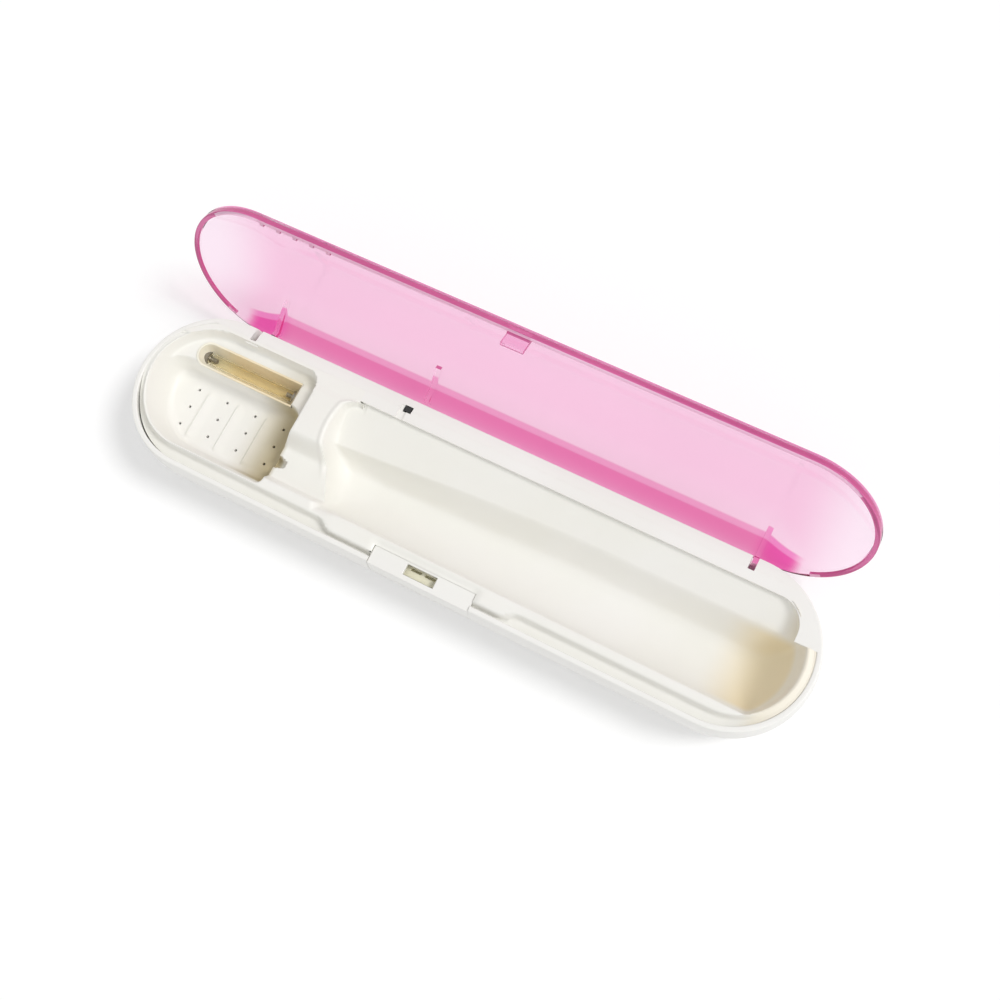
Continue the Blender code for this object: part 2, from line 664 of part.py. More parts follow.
def make_casing(finish):
    profile = hull_profile(0, 0) + hull_profile(CASING_WALL, CASING_FLOOR)[::-1]
    casing = solid("lower_casing", hull_rings(profile), finish)
    flange = prism_z("flange", flange_outline(), FLANGE_UNDERSIDE, RIM_HEIGHT)
    join(casing, common(flange, hull_block("flange_limit")))
    for side in (-1, 1):
        join(casing, *hinge_lugs(side))
    for place in SCREW_PLACES:
        join(casing, prism_z("boss", circle(*place, BOSS_RADIUS), CASING_FLOOR / 2, BOSS_HEIGHT))
    join(casing, cell_walls(), *board_pegs(), *latch_supports())
    cut(casing, shoulder_cutter(), button_space(CLEARANCE, LATCH_STOP_FACE + CLEARANCE))
    cut(casing, door_space(2 * CLEARANCE, -OVERRUN, CASING_FLOOR + OVERRUN))
    for side in (-1, 1):
        cut(casing, arm_slot(side), pin_way(side, PIN_RADIUS + CLEARANCE, OVERRUN))
    for place in SCREW_PLACES:
        seat = circle(*place, SCREW_HEAD_RADIUS + CLEARANCE)
        way = circle(*place, SCREW_RADIUS + CLEARANCE, SMALL_SIDES)
        cut(casing, prism_z("seat", seat, -OVERRUN, SCREW_HEAD_HEIGHT + 2 * CLEARANCE))
        cut(casing, prism_z("way", way, 0, BOSS_HEIGHT + OVERRUN))
    cut(casing, switch_space("switch_hole", CLEARANCE, FLANGE_UNDERSIDE - OVERRUN, RIM_HEIGHT + OVERRUN))
    slot_y = (RAIL_EDGE - OVERRUN, SWITCH_Y)
    slot_z = (RIM_HEIGHT - SWITCH_SLOT_DEPTH, RIM_HEIGHT + OVERRUN)
    cut(casing, box("switch_slot", (SWITCH_X - SWITCH_SLOT_WIDTH, SWITCH_X), slot_y, slot_z))
    return smoothed(casing)


def bay_outline(start_angle, back_edge):
    """The bay's plan: a round head end, a straight front and back, and rounded corners at its end wall."""
    points = []
    for i in range(END_STEPS + 1):
        turn = start_angle + (3 * pi / 2 - start_angle) * i / END_STEPS
        reach = back_edge if sin(turn) > 0 else BAY_EDGE
        points.append((-TRAY_CENTRE + BAY_EDGE * cos(turn), reach * sin(turn)))
    corner = BAY_END_WALL - BAY_CORNER
    points += arc(corner, -BAY_EDGE + BAY_CORNER, BAY_CORNER, -pi / 2, 0, SIDE_STEPS)
    return points


def bay_upper(grow, low):
    """The bay's room above the ledge, or its skin when grown."""
    outline = bay_outline(pi / 2, BAY_BACK_EDGE)
    corner = BAY_END_WALL - BAY_CORNER
    outline += arc(corner, BAY_BACK_EDGE - BAY_CORNER, BAY_CORNER, 0, pi / 2, SIDE_STEPS)
    top = grown(outline, grow)
    bottom = grown(outline, grow - LEDGE_DRAFT)
    return solid("bay_upper", [at_height(bottom, low), at_height(top, DECK + OVERRUN)])


def bay_lower(grow, floor, top):
    """The bay's room in front of the ledge, down to the drained floor."""
    start = pi - asin(LEDGE_FRONT / BAY_BACK_EDGE)
    outline = bay_outline(start, BAY_BACK_EDGE)
    outline.append((BAY_END_WALL, LEDGE_FRONT))
    wide = grown(outline, grow - LEDGE_DRAFT)
    low = grown(outline, grow - BAY_DRAFT)
    least = grown(outline, grow - BAY_DRAFT - BAY_FILLET)
    rings = [at_height(least, floor), at_height(low, floor + BAY_FILLET), at_height(wide, top)]
    return solid("bay_lower", rings)


def lamp_recess(grow):
    x = (RECESS_START - grow, RECESS_END + grow)
    y = (RECESS_FRONT - grow, RECESS_BACK + grow)
    low = RIM_HEIGHT - RECESS_DEPTH - grow
    return box("lamp_recess", x, y, (low, RIM_HEIGHT - LEDGE_DEPTH + (OVERRUN if grow == 0 else 0)))


def trough_section(shift, grow):
    """The trough's (y, z) outline, anticlockwise: front wall, floor, steep wall, shelf and open top."""
    top = DECK + OVERRUN
    points = [(-TROUGH_FRONT, top)]
    for i in range(PROFILE_STEPS + 1):
        turn = pi / 2 * i / PROFILE_STEPS
        y = TROUGH_FLOOR_PLACE - (TROUGH_FRONT + TROUGH_FLOOR_PLACE) * cos(turn)
        points.append((y, RIM_HEIGHT - TROUGH_DEPTH * sin(turn)))
    points.append((CREASE_EDGE - shift, RIM_HEIGHT - CREASE_DEPTH))
    points.append((SHELF_EDGE - shift, RIM_HEIGHT - SHELF_EDGE_DEPTH))
    points.append((RAIL_EDGE + OVERRUN, RIM_HEIGHT - SHELF_DROP))
    points.append((RAIL_EDGE + OVERRUN, top))
    return grown(points, grow)


def trough_plan(height, grow):
    """The trough's (x, y) outline at a height: a shallow bow at one end, a half circle at the other."""
    depth = max(0.0, RIM_HEIGHT - height)
    share = min(depth / (TROUGH_DEPTH + grow + CLEARANCE), 1.0)
    drawn_in = 1 - sqrt(1 - share**2)
    half = TROUGH_END_RADIUS + grow
    start = TROUGH_START - grow + TROUGH_START_SWEEP * drawn_in
    end_centre = ARC_CENTRE - TROUGH_END_SWEEP * drawn_in
    points = arc(end_centre, 0, half, -pi / 2, pi / 2, END_STEPS)
    for i in range(END_STEPS + 1):
        y = half * (1 - 2 * i / END_STEPS)
        bow = TROUGH_START_RADIUS - sqrt(TROUGH_START_RADIUS**2 - y**2)
        points.append((start + bow, y))
    return at_height(points, height)


def trough(grow):
    """The trough's room, or its skin when grown."""
    rings = []
    for x, shift in ((TROUGH_START - 2 * OVERRUN - grow, SLANT), (SLANT_END, 0), (LENGTH / 2, 0)):
        rings.append([(x, y, z) for y, z in trough_section(shift, grow)])
    body = solid("trough", rings)
    plans = [trough_plan(RIM_HEIGHT - TROUGH_DEPTH - grow - CLEARANCE, grow)]
    for i in range(PROFILE_STEPS):
        depth = (TROUGH_DEPTH + grow) * (1 - i / PROFILE_STEPS)
        plans.append(trough_plan(RIM_HEIGHT - depth, grow))
    plans.append(trough_plan(DECK + 2 * OVERRUN, grow))
    return common(body, solid("trough_plan", plans))


def channel(grow):
    """The lowered floor between bay and trough, with the deeper notch for the brush's neck."""
    rings = []
    top = DECK + OVERRUN
    floor = RIM_HEIGHT - CHANNEL_DEPTH
    start = BAY_END_WALL if grow else BAY_END_WALL - 2 * BAY_DRAFT
    stations = (
        (start, NECK_DEPTH),
        (NECK_FLAT_END, NECK_DEPTH),
        (NECK_END, CHANNEL_DEPTH),
        (CHANNEL_END, CHANNEL_DEPTH),
    )
    for x, depth in stations:
        neck = RIM_HEIGHT - max(depth, CHANNEL_DEPTH + CLEARANCE)
        outline = [
            (CHANNEL_FRONT, top),
            (CHANNEL_FRONT, floor + CHANNEL_SLOPE),
            (CHANNEL_FRONT + CHANNEL_SLOPE, floor),
            (NECK_CENTRE - NECK_TOP_HALF, floor),
            (NECK_CENTRE - NECK_BOTTOM_HALF, neck),
            (NECK_CENTRE + NECK_BOTTOM_HALF, neck),
            (NECK_CENTRE + NECK_TOP_HALF, floor),
            (CHANNEL_BACK - CHANNEL_SLOPE, floor),
            (CHANNEL_BACK, floor + CHANNEL_SLOPE),
            (CHANNEL_BACK, top),
        ]
        rings.append([(x, y, z) for y, z in grown(outline, grow)])
    return solid("channel", rings)


def deck_and_groove(finish):
    """The tray's raised deck, the skirt under its edge and the flat groove outside it, as one skin."""
    groove = RIM_HEIGHT - GROOVE_DEPTH
    low = groove - TRAY_PLATE
    inner = LIP_EDGE - SKIRT_THICKNESS
    rings = [
        at_height(capsule(LIP_EDGE, TRAY_CENTRE), DECK),
        at_height(capsule(LIP_EDGE, TRAY_CENTRE), groove),
        at_height(capsule(GROOVE_EDGE), groove),
        at_height(capsule(GROOVE_EDGE), low),
        at_height(capsule(inner, TRAY_CENTRE), low),
        at_height(capsule(inner, TRAY_CENTRE), DECK - TRAY_PLATE),
    ]
    return solid("inner_tray", rings, finish)


def lip_bulge():
    """Where the deck's front edge swells outwards beside the latch, with its small nib."""
    low = RIM_HEIGHT - GROOVE_DEPTH - TRAY_PLATE / 2
    high = DECK - CLEARANCE / 3
    inner = -LIP_EDGE + SKIRT_THICKNESS / 2
    half_ramp = LIP_BULGE_RAMP / 2
    eased = LIP_EDGE + (LIP_BULGE_EDGE - LIP_EDGE) * EASED_SHARE
    outline = [
        (LIP_BULGE_START, inner),
        (LIP_BULGE_START, -LIP_EDGE),
        (LIP_BULGE_START + half_ramp, -eased),
        (LIP_BULGE_START + LIP_BULGE_RAMP, -LIP_BULGE_EDGE),
        (LIP_BULGE_END - LIP_BULGE_RAMP, -LIP_BULGE_EDGE),
        (LIP_BULGE_END - half_ramp, -eased),
        (LIP_BULGE_END, -LIP_EDGE),
        (LIP_BULGE_END, inner),
    ]
    nib = circle(LIP_NIB_PLACE, -LIP_EDGE, LIP_NIB_RADIUS, SMALL_SIDES)
    return join(prism_z("lip_bulge", outline, low, high), prism_z("nib", nib, low, high))


def back_strip():
    """The deck's strip behind the bay, level with the rim and up to the casing's flange."""
    x = (-LENGTH / 2, RAIL_START - CLEARANCE)
    y = (LIP_EDGE - SKIRT_THICKNESS / 2, FLANGE_HEAD_EDGE - CLEARANCE)
    strip = box("back_strip", x, y, (FLANGE_UNDERSIDE, RIM_HEIGHT))
    return common(strip, prism_z("limit", capsule(GROOVE_EDGE - CLEARANCE), 0, DECK))


def make_tray(finish):
    tray = deck_and_groove(finish)
    join(tray, lip_bulge(), back_strip())
    ledge = RIM_HEIGHT - LEDGE_DEPTH
    floor = RIM_HEIGHT - BAY_DEPTH
    tub = bay_upper(TRAY_WALL, ledge - TRAY_WALL)
    join(tub, bay_lower(TRAY_WALL, floor - TRAY_WALL, ledge), lamp_recess(TRAY_WALL), channel(TRAY_WALL))
    join(tub, trough(TRAY_WALL))
    common(tub, prism_z("tub_limit", capsule(GROOVE_EDGE, ARC_CENTRE), 0, DECK - CLEARANCE / 3))
    join(tray, tub, *screw_posts())
    cut(tray, bay_upper(0, ledge), bay_lower(0, floor, ledge + OVERRUN / 2), lamp_recess(0))
    cut(tray, channel(0), trough(0))
    top = DECK + OVERRUN
    flange_room = grown(flange_outline(), CLEARANCE)
    cut(tray, prism_z("flange_room", flange_room, FLANGE_UNDERSIDE - CLEARANCE, top))
    room_y = (RAIL_EDGE + FLANGE_TUCK, HULL_RADIUS)
    cut(tray, box("lug_room", (RAIL_START, RAIL_CORNER_START), room_y, (0, top)))
    room_y = (FLANGE_HEAD_EDGE - CLEARANCE, HULL_RADIUS)
    cut(tray, box("arm_room", (-LENGTH, RAIL_START + OVERRUN), room_y, (0, top)))
    cut(tray, button_space(2 * CLEARANCE, LIP_EDGE))
    plate_room = BUTTON_BACK - BUTTON_TRAVEL - CLEARANCE
    under_lip = button_space(2 * CLEARANCE, plate_room)
    lip_underside = RIM_HEIGHT - BUTTON_SINK + CLEARANCE
    common(under_lip, box("lip_limit", (-LENGTH, LENGTH), (-LENGTH, 0), (0, lip_underside)))
    cut(tray, under_lip, *screw_pilots(), *drains())
    join(tray, *floor_ridges())
    return smoothed(tray)


def screw_posts():
    posts = []
    for place in SCREW_PLACES:
        high = RIM_HEIGHT - TRAY_RISE
        posts.append(prism_z("post", circle(*place, BOSS_RADIUS), BOSS_HEIGHT + CLEARANCE, high))
    return posts


def screw_pilots():
    pilots = []
    top = CLEARANCE + SCREW_HEAD_HEIGHT + SCREW_LENGTH + CLEARANCE
    for place in SCREW_PLACES:
        pilots.append(prism_z("pilot", circle(*place, SCREW_RADIUS + CLEARANCE, SMALL_SIDES), 0, top))
    return pilots


def drains():
    holes = []
    low = RIM_HEIGHT - BAY_DEPTH - 2 * TRAY_WALL
    for column in range(DRAIN_COLUMNS):
        for row in range(DRAIN_ROWS):
            x = DRAIN_FIRST_X + DRAIN_PITCH_X * column
            y = DRAIN_FIRST_Y - DRAIN_PITCH_Y * row
            outline = circle(x, y, DRAIN_RADIUS, SMALL_SIDES)
            holes.append(prism_z("drain", outline, low, RIM_HEIGHT - BAY_DEPTH + OVERRUN))
    return holes


def floor_ridges():
    """Low rounded ridges across the bay's floor, between the columns of drain holes."""
    ridges = []
    floor = RIM_HEIGHT - BAY_DEPTH
    for gap in range(DRAIN_COLUMNS - 1):
        x = DRAIN_FIRST_X + DRAIN_PITCH_X * (gap + 1 / 2)
        half = RIDGE_WIDTH / 2
        sunk = floor - TRAY_WALL / 2
        crest = floor + RIDGE_HEIGHT
        profile = [(sunk, x + half), (sunk, x - half), (floor, x - half), (crest, x - half / 3)]
        profile += [(crest, x + half / 3), (floor, x + half)]
        ridges.append(prism_y("ridge", profile[::-1], RIDGE_FRONT, RIDGE_BACK))
    return ridges


def make_latch(button_finish, guide_finish, spring_finish):
    top = RIM_HEIGHT - BUTTON_SINK
    low = RIM_HEIGHT - BUTTON_DROP
    half = BUTTON_HALF_WIDTH
    button = hull_block("latch_button")
    button.data.materials.append(button_finish)
    common(button, box("button_limit", (-half, half), (-HULL_RADIUS - OVERRUN, -BUTTON_BACK), (low, top)))
    inside = HULL_RADIUS - BUTTON_WALL
    wall = BUTTON_WALL
    cut(
        button,
        box("inside", (wall - half, half - wall), (-inside, 0), (low - OVERRUN, top - BUTTON_PLATE)),
        box("window", (WINDOW_LEFT, WINDOW_RIGHT), (-WINDOW_FRONT, -WINDOW_BACK), (low, top + OVERRUN)),
    )
    guide_top = RIM_HEIGHT - GUIDE_TOP
    x = (WINDOW_LEFT - GUIDE_MARGIN, WINDOW_RIGHT + GUIDE_MARGIN)
    y = (-GUIDE_FRONT, -GUIDE_BACK)
    guide = box("latch_guide", x, y, (guide_top - GUIDE_HEIGHT, guide_top), guide_finish)
    middle = (WINDOW_LEFT + WINDOW_RIGHT) / 2
    slot_middle = -(GUIDE_FRONT + GUIDE_BACK) / 2
    for side in (-1, 1):
        centre = middle + side * GUIDE_SLOT_LENGTH * 2 / 3
        slot_x = (centre - GUIDE_SLOT_LENGTH / 2, centre + GUIDE_SLOT_LENGTH / 2)
        slot_y = (slot_middle - GUIDE_SLOT_WIDTH / 2, slot_middle + GUIDE_SLOT_WIDTH / 2)
        cut(guide, box("slot", slot_x, slot_y, (guide_top - GUIDE_SLOT_DEPTH, guide_top + OVERRUN)))
    z = RIM_HEIGHT - LATCH_SPRING_DEPTH
    start = inside - LATCH_SPRING_WIRE - CLEARANCE
    length = start - LATCH_STOP_FACE - LATCH_SPRING_WIRE - CLEARANCE
    for side, name in ((-1, "latch_spring_left"), (1, "latch_spring_right")):
        coil(
            name,
            (side * LATCH_SPRING_PLACE, -start, z),
            (0, 1, 0),
            (LATCH_SPRING_RADIUS, LATCH_SPRING_RADIUS),
            length,
            LATCH_SPRING_TURNS,
            LATCH_SPRING_WIRE,
            spring_finish,
        )


def make_lamp(glass, cap_finish, lining):
    first = RECESS_START + CLEARANCE
    last = RECESS_END - CLEARANCE
    caps = (("lamp_cap_left", first, 1), ("lamp_cap_right", last, -1))
    for name, x, way in caps:
        cap = circle(TUBE_PLACE, TUBE_Z, CAP_RADIUS)
        body = prism_x(name, cap, *sorted((x, x + way * CAP_LENGTH)), cap_finish)
        stem_end = x + way * (CAP_LENGTH + ELECTRODE_LENGTH)
        stem = circle(TUBE_PLACE, TUBE_Z, ELECTRODE_RADIUS, SMALL_SIDES)
        smoothed(join(body, prism_x("stem", stem, *sorted((x + way * CAP_LENGTH / 2, stem_end)))))
    gap = CAP_LENGTH + CLEARANCE
    glass_round = circle(TUBE_PLACE, TUBE_Z, TUBE_RADIUS)
    tube = prism_x("uv_lamp_tube", glass_round, first + gap, last - gap, glass)
    bore = circle(TUBE_PLACE, TUBE_Z, TUBE_RADIUS - TUBE_WALL)
    smoothed(cut(tube, prism_x("bore", bore, first, last)))
    middle = (RECESS_FRONT + RECESS_BACK) / 2
    outer = (RECESS_BACK - RECESS_FRONT) / 2 - CLEARANCE
    inner = outer - REFLECTOR_THICKNESS
    centre_z = RIM_HEIGHT - RECESS_DEPTH + CLEARANCE + outer
    top = RIM_HEIGHT - REFLECTOR_TOP
    outline = [(middle - outer, top)]
    outline += arc(middle, centre_z, outer, pi, 2 * pi, END_STEPS)
    outline += [(middle + outer, top), (middle + inner, top)]
    outline += arc(middle, centre_z, inner, 2 * pi, pi, END_STEPS)
    outline.append((middle - inner, top))
    smoothed(prism_x("lamp_reflector", outline, first, last, lining))


def make_cells(sleeve, metal):
    for i, name in enumerate(("battery_1", "battery_2")):
        start = CELL_START + CELL_PITCH * i
        cell = prism_x(name, circle(CELL_PLACE, CELL_Z, CELL_RADIUS), start, start + CELL_LENGTH, sleeve)
        nub_end = start + CELL_LENGTH + CELL_NUB_LENGTH
        nub = circle(CELL_PLACE, CELL_Z, CELL_NUB_RADIUS)
        smoothed(join(cell, prism_x("nub", nub, start + CELL_LENGTH / 2, nub_end)))
    tip = (CELL_START - CLEARANCE - SPRING_WIRE, CELL_PLACE, CELL_Z)
    reach = SPRING_LENGTH - 2 * SPRING_WIRE
    radii = (SPRING_TIP_RADIUS, SPRING_RADIUS)
    coil("battery_spring", tip, (-1, 0, 0), radii, reach, SPRING_TURNS, SPRING_WIRE, metal)
    half = CONTACT_SIZE / 2
    x = (CELL_END, CELL_END + CONTACT_THICKNESS)
    y = (CELL_PLACE - half, CELL_PLACE + half)
    box("battery_contact", x, y, (CELL_Z - half, CELL_Z + half), metal)


def make_door(finish):
    door = door_space(CLEARANCE, 0, DOOR_THICKNESS)
    door.name = "battery_door"
    door.data.materials.append(finish)
    middle = (DOOR_Y[0] + DOOR_Y[1]) / 2
    rib_x = (DOOR_X[0] + DOOR_RIB, DOOR_X[1] - DOOR_RIB)
    rib_y = (middle - DOOR_RIB / 2, middle + DOOR_RIB / 2)
    join(door, box("rib", rib_x, rib_y, (DOOR_RIB, DOOR_THICKNESS + DOOR_RIB)))
    for i in range(DOOR_GRIP_COUNT):
        x = DOOR_X[0] + DOOR_GRIP_INSET + DOOR_GRIP_PITCH * i
        grip_y = (middle - DOOR_GRIP_LENGTH / 2, middle + DOOR_GRIP_LENGTH / 2)
        cut(door, box("grip", (x, x + DOOR_GRIP_WIDTH), grip_y, (-OVERRUN, DOOR_GRIP_DEPTH)))


def make_board(board_finish, core_finish, wire_finish, chip_finish, can_finish):
    board_x, board_y = (BOARD_START, BOARD_END), (BOARD_FRONT, BOARD_BACK)
    box("circuit_board", board_x, board_y, (BOARD_UNDERSIDE, BOARD_TOP), board_finish)
    seat = BOARD_TOP + CLEARANCE
    x = BOARD_START + TRANSFORMER_ALONG
    y = BOARD_BACK - TRANSFORMER_INSET
    half_x = TRANSFORMER_LENGTH / 2
    half_y = TRANSFORMER_WIDTH / 2
    core = TRANSFORMER_CORE
    core_y = (y - half_y, y + half_y)
    body = box("inverter_transformer", (x - half_x, x + half_x), core_y, (seat, seat + core), core_finish)
    tall = (seat + core / 2, seat + TRANSFORMER_HEIGHT)
    for side in (-1, 1):
        cheek = sorted((x + side * half_x, x + side * (half_x - core)))
        join(body, box("cheek", cheek, core_y, tall))
    winding = circle(y, seat + TRANSFORMER_HEIGHT / 2, TRANSFORMER_HEIGHT / 2 - CLEARANCE)
    join(body, prism_x("winding", winding, x - half_x + core / 2, x + half_x - core / 2))
    smoothed(body)
    x = BOARD_START + CHIP_ALONG
    y = BOARD_BACK - CHIP_INSET
    chip_x = (x - CHIP_LENGTH / 2, x + CHIP_LENGTH / 2)
    chip_y = (y - CHIP_WIDTH / 2, y + CHIP_WIDTH / 2)
    box("timer_chip", chip_x, chip_y, (seat, seat + CHIP_HEIGHT), chip_finish)
    can = circle(BOARD_END - CAPACITOR_MARGIN, BOARD_BACK - CAPACITOR_INSET, CAPACITOR_RADIUS)
    smoothed(prism_z("capacitor", can, seat, seat + CAPACITOR_HEIGHT, can_finish))


def make_switch(body_finish, plunger_finish):
    x = (SWITCH_X - SWITCH_LENGTH / 2, SWITCH_X + SWITCH_LENGTH / 2)
    y = (SWITCH_Y - SWITCH_WIDTH / 2, SWITCH_Y + SWITCH_WIDTH / 2)
    body = box("switch_body", x, y, (SWITCH_TOP - SWITCH_HEIGHT, SWITCH_TOP), body_finish)
    top = RIM_HEIGHT - PLUNGER_SINK
    low = top - PLUNGER_HEIGHT
    well = low - PLUNGER_TRAVEL - CLEARANCE
    cut(body, switch_space("well", CLEARANCE, well, SWITCH_TOP + OVERRUN))
    plunger = switch_space("switch_plunger", 0, low, top)
    plunger.data.materials.append(plunger_finish)


def make_screws(finish):
    base = CLEARANCE
    for i, place in enumerate(SCREW_PLACES):
        head = circle(*place, SCREW_HEAD_RADIUS)
        shank = circle(*place, SCREW_RADIUS, SMALL_SIDES)
        high = base + SCREW_HEAD_HEIGHT
        screw = prism_z(f"case_screw_{i + 1}", head, base, high, finish)
        join(screw, prism_z("shank", shank, base + SCREW_HEAD_HEIGHT / 2, high + SCREW_LENGTH))
        for long_x in (True, False):
            long_half, short_half = SCREW_HEAD_RADIUS * 2 / 3, SCREW_SLOT / 2
            half_x, half_y = (long_half, short_half) if long_x else (short_half, long_half)
            x = (place[0] - half_x, place[0] + half_x)
            y = (place[1] - half_y, place[1] + half_y)
            cut(screw, box("cross", x, y, (0, base + SCREW_SLOT)))
        smoothed(screw)


def make_pins(finish):
    for side, name in ((-1, "hinge_pin_left"), (1, "hinge_pin_right")):
        pin = pin_way(side, PIN_RADIUS, 0)
        pin.name = name
        pin.data.materials.append(finish)
        smoothed(pin)


def dome_height(y, wall):
    """Height of the lid's dome above the rim at a distance from its middle line, under its skin."""
    rise = LID_RISE - LID_SIDE_HEIGHT
    radius = (RIM_RADIUS**2 + rise**2) / (2 * rise)
    return LID_RISE - radius + sqrt((radius - wall) ** 2 - y**2)


def lid_profile(wall):
    """(radius, height) pairs up the lid's side and over its dome to the crown."""
    edge = RIM_RADIUS - wall
    points = [(edge, LID_FOOT)]
    for i in range(DOME_STEPS + 1):
        share = i / DOME_STEPS
        radius = edge + (LID_CROWN_RADIUS - edge) * share**1.3
        points.append((radius, RIM_HEIGHT + dome_height(radius, wall)))
    return points


def lid_arm(side):
    """A hinge arm in its closed place: gusset in the dome's corner, then down to the eye on the pin."""
    middle = LID_WALL / 2
    outline = []
    steps = SIDE_STEPS + 1
    for i in range(steps + 1):
        y = ARM_ROOT_EDGE + (RIM_RADIUS - middle - ARM_ROOT_EDGE) * i / steps
        outline.append((y, RIM_HEIGHT + dome_height(y, middle)))
    outline.append((RIM_RADIUS - middle, LID_FOOT + middle))
    outline = outline[::-1]
    outline.append((ARM_ROOT_EDGE, RIM_HEIGHT + ARM_ROOT_HEIGHT))
    outline.append((ARM_WAIST_EDGE, RIM_HEIGHT + ARM_WAIST_HEIGHT))
    outline.append((HINGE_Y - ARM_FRONT_REACH, LID_FOOT))
    first = pi / 2 + asin(ARM_FRONT_REACH / ARM_EYE_RADIUS)
    outline += arc(HINGE_Y, HINGE_Z, ARM_EYE_RADIUS, first, 2 * pi, END_STEPS)
    half = ARM_THICKNESS / 2
    return prism_x("arm", outline, side * ARM_PLACE - half, side * ARM_PLACE + half)


def switch_rib():
    middle = LID_WALL / 2
    tip_end = SWITCH_Y + PLUNGER_WIDTH / 2
    outline = []
    steps = SIDE_STEPS + 1
    for i in range(steps + 1):
        y = SWITCH_RIB_FRONT + (RIM_RADIUS - middle - SWITCH_RIB_FRONT) * i / steps
        outline.append((y, RIM_HEIGHT + dome_height(y, middle)))
    outline.append((RIM_RADIUS - middle, LID_FOOT + middle))
    outline.append((tip_end, LID_FOOT))
    outline.append((SWITCH_RIB_TIP, LID_FOOT))
    outline.append((SWITCH_RIB_KNEE, RIM_HEIGHT + SWITCH_RIB_KNEE_HEIGHT))
    outline.append((SWITCH_RIB_FRONT, RIM_HEIGHT + SWITCH_RIB_TOP))
    half = SWITCH_RIB_WIDTH / 2
    return prism_x("switch_rib", outline, SWITCH_X - half, SWITCH_X + half)


def front_hook():
    """The latch hook: root on the lid's front wall, tongue down through the window, barb inwards."""
    middle = LID_WALL / 2
    tip = RIM_HEIGHT - HOOK_DEPTH
    outline = [
        (-RIM_RADIUS + middle, LID_FOOT + middle),
        (-HOOK_FRONT, LID_FOOT),
        (-HOOK_FRONT, tip),
        (-HOOK_BACK, tip),
        (-HOOK_BACK + HOOK_BARB, tip + HOOK_BARB_HEIGHT),
        (-HOOK_BACK, tip + HOOK_BARB_HEIGHT + HOOK_BARB),
        (-HOOK_BACK, RIM_HEIGHT + HOOK_ROOT_HEIGHT),
        (-RIM_RADIUS + middle, RIM_HEIGHT + HOOK_ROOT_HEIGHT),
    ]
    return prism_x("hook", outline, HOOK_LEFT, HOOK_RIGHT)


def front_teeth():
    teeth = []
    inner = RIM_RADIUS - LID_WALL
    for i in range(TOOTH_COUNT):
        x = TOOTH_FIRST + TOOTH_PITCH * i
        y = (-inner - LID_WALL / 2, TOOTH_DEPTH - inner)
        teeth.append(box("tooth", (x, x + TOOTH_WIDTH), y, (LID_FOOT, LID_FOOT + TOOTH_HEIGHT)))
    return teeth


def make_lid(finish):
    """The lid is modelled closed, then hung on an empty at the hinge axis that swings it open."""
    profile = lid_profile(0)[::-1] + lid_profile(LID_WALL)
    lid = solid("lid_shell", hull_rings(profile), finish)
    thumb_x = (-THUMB_HALF_WIDTH, THUMB_HALF_WIDTH)
    thumb_y = (-RIM_RADIUS - OVERRUN, THUMB_DEPTH - RIM_RADIUS)
    cut(lid, box("thumb", thumb_x, thumb_y, (RIM_HEIGHT, RIM_HEIGHT + THUMB_HEIGHT)))
    for side in (-1, 1):
        join(lid, lid_arm(side))
    join(lid, switch_rib(), front_hook(), *front_teeth())
    for side in (-1, 1):
        cut(lid, pin_way(side, PIN_RADIUS + CLEARANCE, 0))
    smoothed(lid)
    hinge = bpy.data.objects.new("lid_hinge", None)
    bpy.context.scene.collection.objects.link(hinge)
    hinge.location = (0, HINGE_Y, HINGE_Z)
    lid.parent = hinge
    lid.location = (0, -HINGE_Y, -HINGE_Z)
    hinge.rotation_euler.x = -OPEN_ANGLE
    return lid


def main():
    for obj in list(bpy.data.objects):
        bpy.data.objects.remove(obj, do_unlink=True)
    white = material("white_plastic", (0.93, 0.92, 0.88), 0.32)
    tray_white = material("tray_plastic", (0.94, 0.93, 0.9), 0.35)
    pink = material("pink_clear_plastic", (0.95, 0.45, 0.7), 0.08, alpha=0.45)
    glass = material("lamp_glass", (0.9, 0.88, 0.82), 0.05, alpha=0.4)
    cap = material("lamp_cap_metal", (0.3, 0.28, 0.24), 0.45, 0.6)
    lining = material("reflector_lining", (0.72, 0.62, 0.42), 0.3)
    metal = material("bright_metal", (0.78, 0.78, 0.76), 0.25, 1.0)
    steel = material("steel", (0.6, 0.6, 0.62), 0.35, 1.0)
    yellow = material("acetal", (0.78, 0.7, 0.36), 0.4)
    black = material("black_plastic", (0.02, 0.02, 0.02), 0.45)
    green = material("board_green", (0.05, 0.24, 0.1), 0.5)
    copper = material("ferrite_and_copper", (0.45, 0.2, 0.08), 0.5)
    sleeve = material("cell_sleeve", (0.2, 0.22, 0.25), 0.35, 0.3)
    can = material("capacitor_sleeve", (0.06, 0.08, 0.2), 0.4)
    make_casing(white)
    make_tray(tray_white)
    make_latch(white, yellow, steel)
    make_lamp(glass, cap, lining)
    make_cells(sleeve, metal)
    make_door(white)
    make_board(green, copper, copper, black, can)
    make_switch(black, black)
    make_screws(steel)
    make_pins(steel)
    make_lid(pink)


main()
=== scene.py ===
# %% [markdown]
# This lesson dresses a toothbrush case. The real one is a white capsule of
# moulded plastic with a tray, a small lamp, a latch button and a clear pink
# lid on a hinge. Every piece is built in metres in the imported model's own
# frame, so a piece lies where its solid lies, and it moves with the same body.

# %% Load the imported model
import json
from math import atan2, cos, degrees, hypot, pi, radians, sin, sqrt

import bmesh
import bpy
from mathutils import Matrix, Vector


